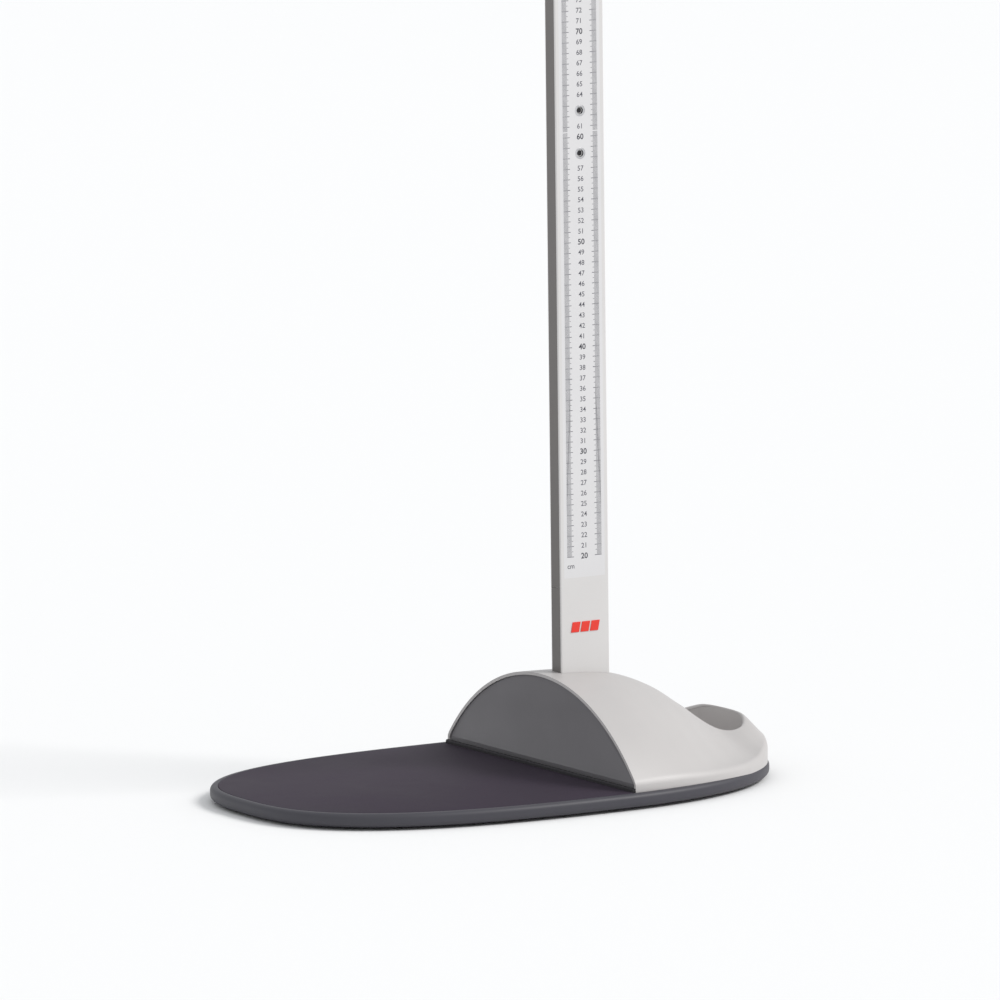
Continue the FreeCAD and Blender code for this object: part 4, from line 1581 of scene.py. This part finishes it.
    def spring(self) -> None:
        """Return spring under the button."""
        low, high = node_span("brake_spring")
        middle = (low + high) / 2
        wire = self.spring_wire
        radius = (high.y - low.y) / 2 - wire
        rise = high.z - low.z - 2 * wire
        facets, around = 28, 10
        steps = facets * self.spring_turns
        points: list[Point] = []
        for step in range(steps + 1):
            share = step / steps
            turn = math.tau * self.spring_turns * share
            for angle in ring_turns(around):
                reach = radius + wire * math.cos(angle)
                height = low.z + wire + rise * share + wire * math.sin(angle)
                points.append((middle.x + reach * math.cos(turn), middle.y + reach * math.sin(turn), height))
        piece = loft("return_spring", points, around)
        face_outward(piece)
        smooth(piece)
        self.finishes.dress(piece, self.finishes.zinc)
        fasten(piece, "slide", "screw_steel", "brake_spring")
        anchor = (middle.x * MM, middle.y * MM, low.z * MM)
        keep = 1 - self.button_travel / (high.z - low.z)
        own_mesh(piece)


# ---------------------------------------------------------------- carried-over nodes


@dataclass
class Carried:
    """Finish of each CAD node that is shown as it is."""

    finishes: Finishes
    plan: dict[str, tuple[str, ...]] = field(
        default_factory=lambda: {
            "plate": ("base_plate",),
            "shell": ("slide_front", "slide_rear", "top_cap"),
            # The guide strip's grey paints the shade on the column's -X face.
            "guide": ("guide_strip",),
            "panel": ("lower_stop", "glide_front", "glide_rear"),
            "column": ("column_1", "column_2", "column_3", "column_4"),
            "film": ("rule_1", "rule_2", "rule_3", "rule_4"),
            "aluminium": ("foot_bracket", "splice_1", "splice_2", "splice_3"),
            "zinc": ("plate_screw_", "cover_screw_", "clamp_bolt_", "slide_screw_", "hinge_pin"),
            "seal": ("brake_shoe",),
            "mark": ("pointer",),
            "clear": ("window",),
        }
    )

    def build(self) -> None:
        """Dresses every CAD node whose shape is kept."""
        for finish, names in self.plan.items():
            for node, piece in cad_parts.items():
                if node in names or any(name.endswith("_") and node.startswith(name) for name in names):
                    self.finishes.dress(piece, getattr(self.finishes, finish))
                    LOG.info("%s: kept, finish %s", node, finish)


# ---------------------------------------------------------------- studio


@dataclass
class Studio:
    """Floor, lights and camera."""

    azimuth: float = 30.84
    elevation: float = 8.58
    roll: float = -0.65
    distance: float = 13.933
    focal: float = 14.753
    sensor: float = 36.0
    target: Point = (10.0, 0.0, 275.9)

    def build(self) -> None:
        """Makes the studio."""
        self.floor()
        self.lights()
        self.camera()

    def floor(self) -> None:
        """Large pale floor."""
        size = 60000.0
        corners = [(-size, -size, 0), (size, -size, 0), (size, size, 0), (-size, size, 0)]
        floor = mesh_object("floor", corners, [(0, 1, 2, 3)])
        shader = Shader("floor_paint")
        tone = shader.noise(4000.0, 2.0)
        shader.set(
            base_color=shader.blend((0.872, 0.877, 0.882), (0.885, 0.887, 0.89), tone),
            roughness=0.9,
            specular_ior_level=0.1,
        )
        floor.data.materials.append(shader.material)

    def lights(self) -> None:
        """Even white surroundings and a broad soft key from the right."""
        scene = bpy.context.scene
        scene.view_settings.view_transform = "Standard"
        world = bpy.data.worlds.new("studio")
        world.use_nodes = True
        sky = world.node_tree.nodes["Background"]
        sky.inputs["Color"].default_value = (0.97, 0.985, 1.0, 1.0)
        sky.inputs["Strength"].default_value = 0.74
        scene.world = world
        key = bpy.data.lights.new("key", "SUN")
        key.energy = 1.88
        key.angle = math.radians(24)
        key.color = (1.0, 0.985, 0.965)
        lamp = bpy.data.objects.new("key", key)
        towards = Vector((0.62, -0.5, 0.72)).normalized()
        lamp.rotation_euler = towards.to_track_quat("Z", "Y").to_euler()
        lamp.location = towards * 8.0
        scene.collection.objects.link(lamp)

    def camera(self) -> None:
        """Distant long-lens camera with a slight lean."""
        scene = bpy.context.scene
        data = bpy.data.cameras.new("camera")
        data.sensor_width = self.sensor
        data.lens = self.sensor * self.focal
        data.clip_end = 200.0
        camera = bpy.data.objects.new("camera", data)
        phi, theta = math.radians(self.azimuth), math.radians(self.elevation)
        look = Vector((math.sin(phi) * math.cos(theta), math.cos(phi) * math.cos(theta), -math.sin(theta)))
        right = Vector((math.cos(phi), -math.sin(phi), 0))
        up = right.cross(look)
        roll = math.radians(self.roll)
        side = right * math.cos(roll) + up * math.sin(roll)
        rise = up * math.cos(roll) - right * math.sin(roll)
        place = Vector(self.target) * MM - look * self.distance
        camera.matrix_world = Matrix(
            (
                (side.x, rise.x, -look.x, place.x),
                (side.y, rise.y, -look.y, place.y),
                (side.z, rise.z, -look.z, place.z),
                (0, 0, 0, 1),
            )
        )
        scene.collection.objects.link(camera)
        scene.camera = camera


def main() -> None:
    """Builds the station round its frame."""
    logging.basicConfig(level=logging.INFO, format="%(name)s %(message)s")
    finishes = Finishes(Palette())
    plan = Plan()
    makers: tuple[object, ...] = (
        Carried(finishes),
        Footing(plan, finishes),
        Hood(plan, finishes),
        Rule(finishes),
        Column(finishes),
        HeadSlide(finishes),
        Studio(),
    )
    for maker in makers:
        maker.build()
        LOG.info("%s done", type(maker).__name__)


if __name__ == "__main__":
    main()
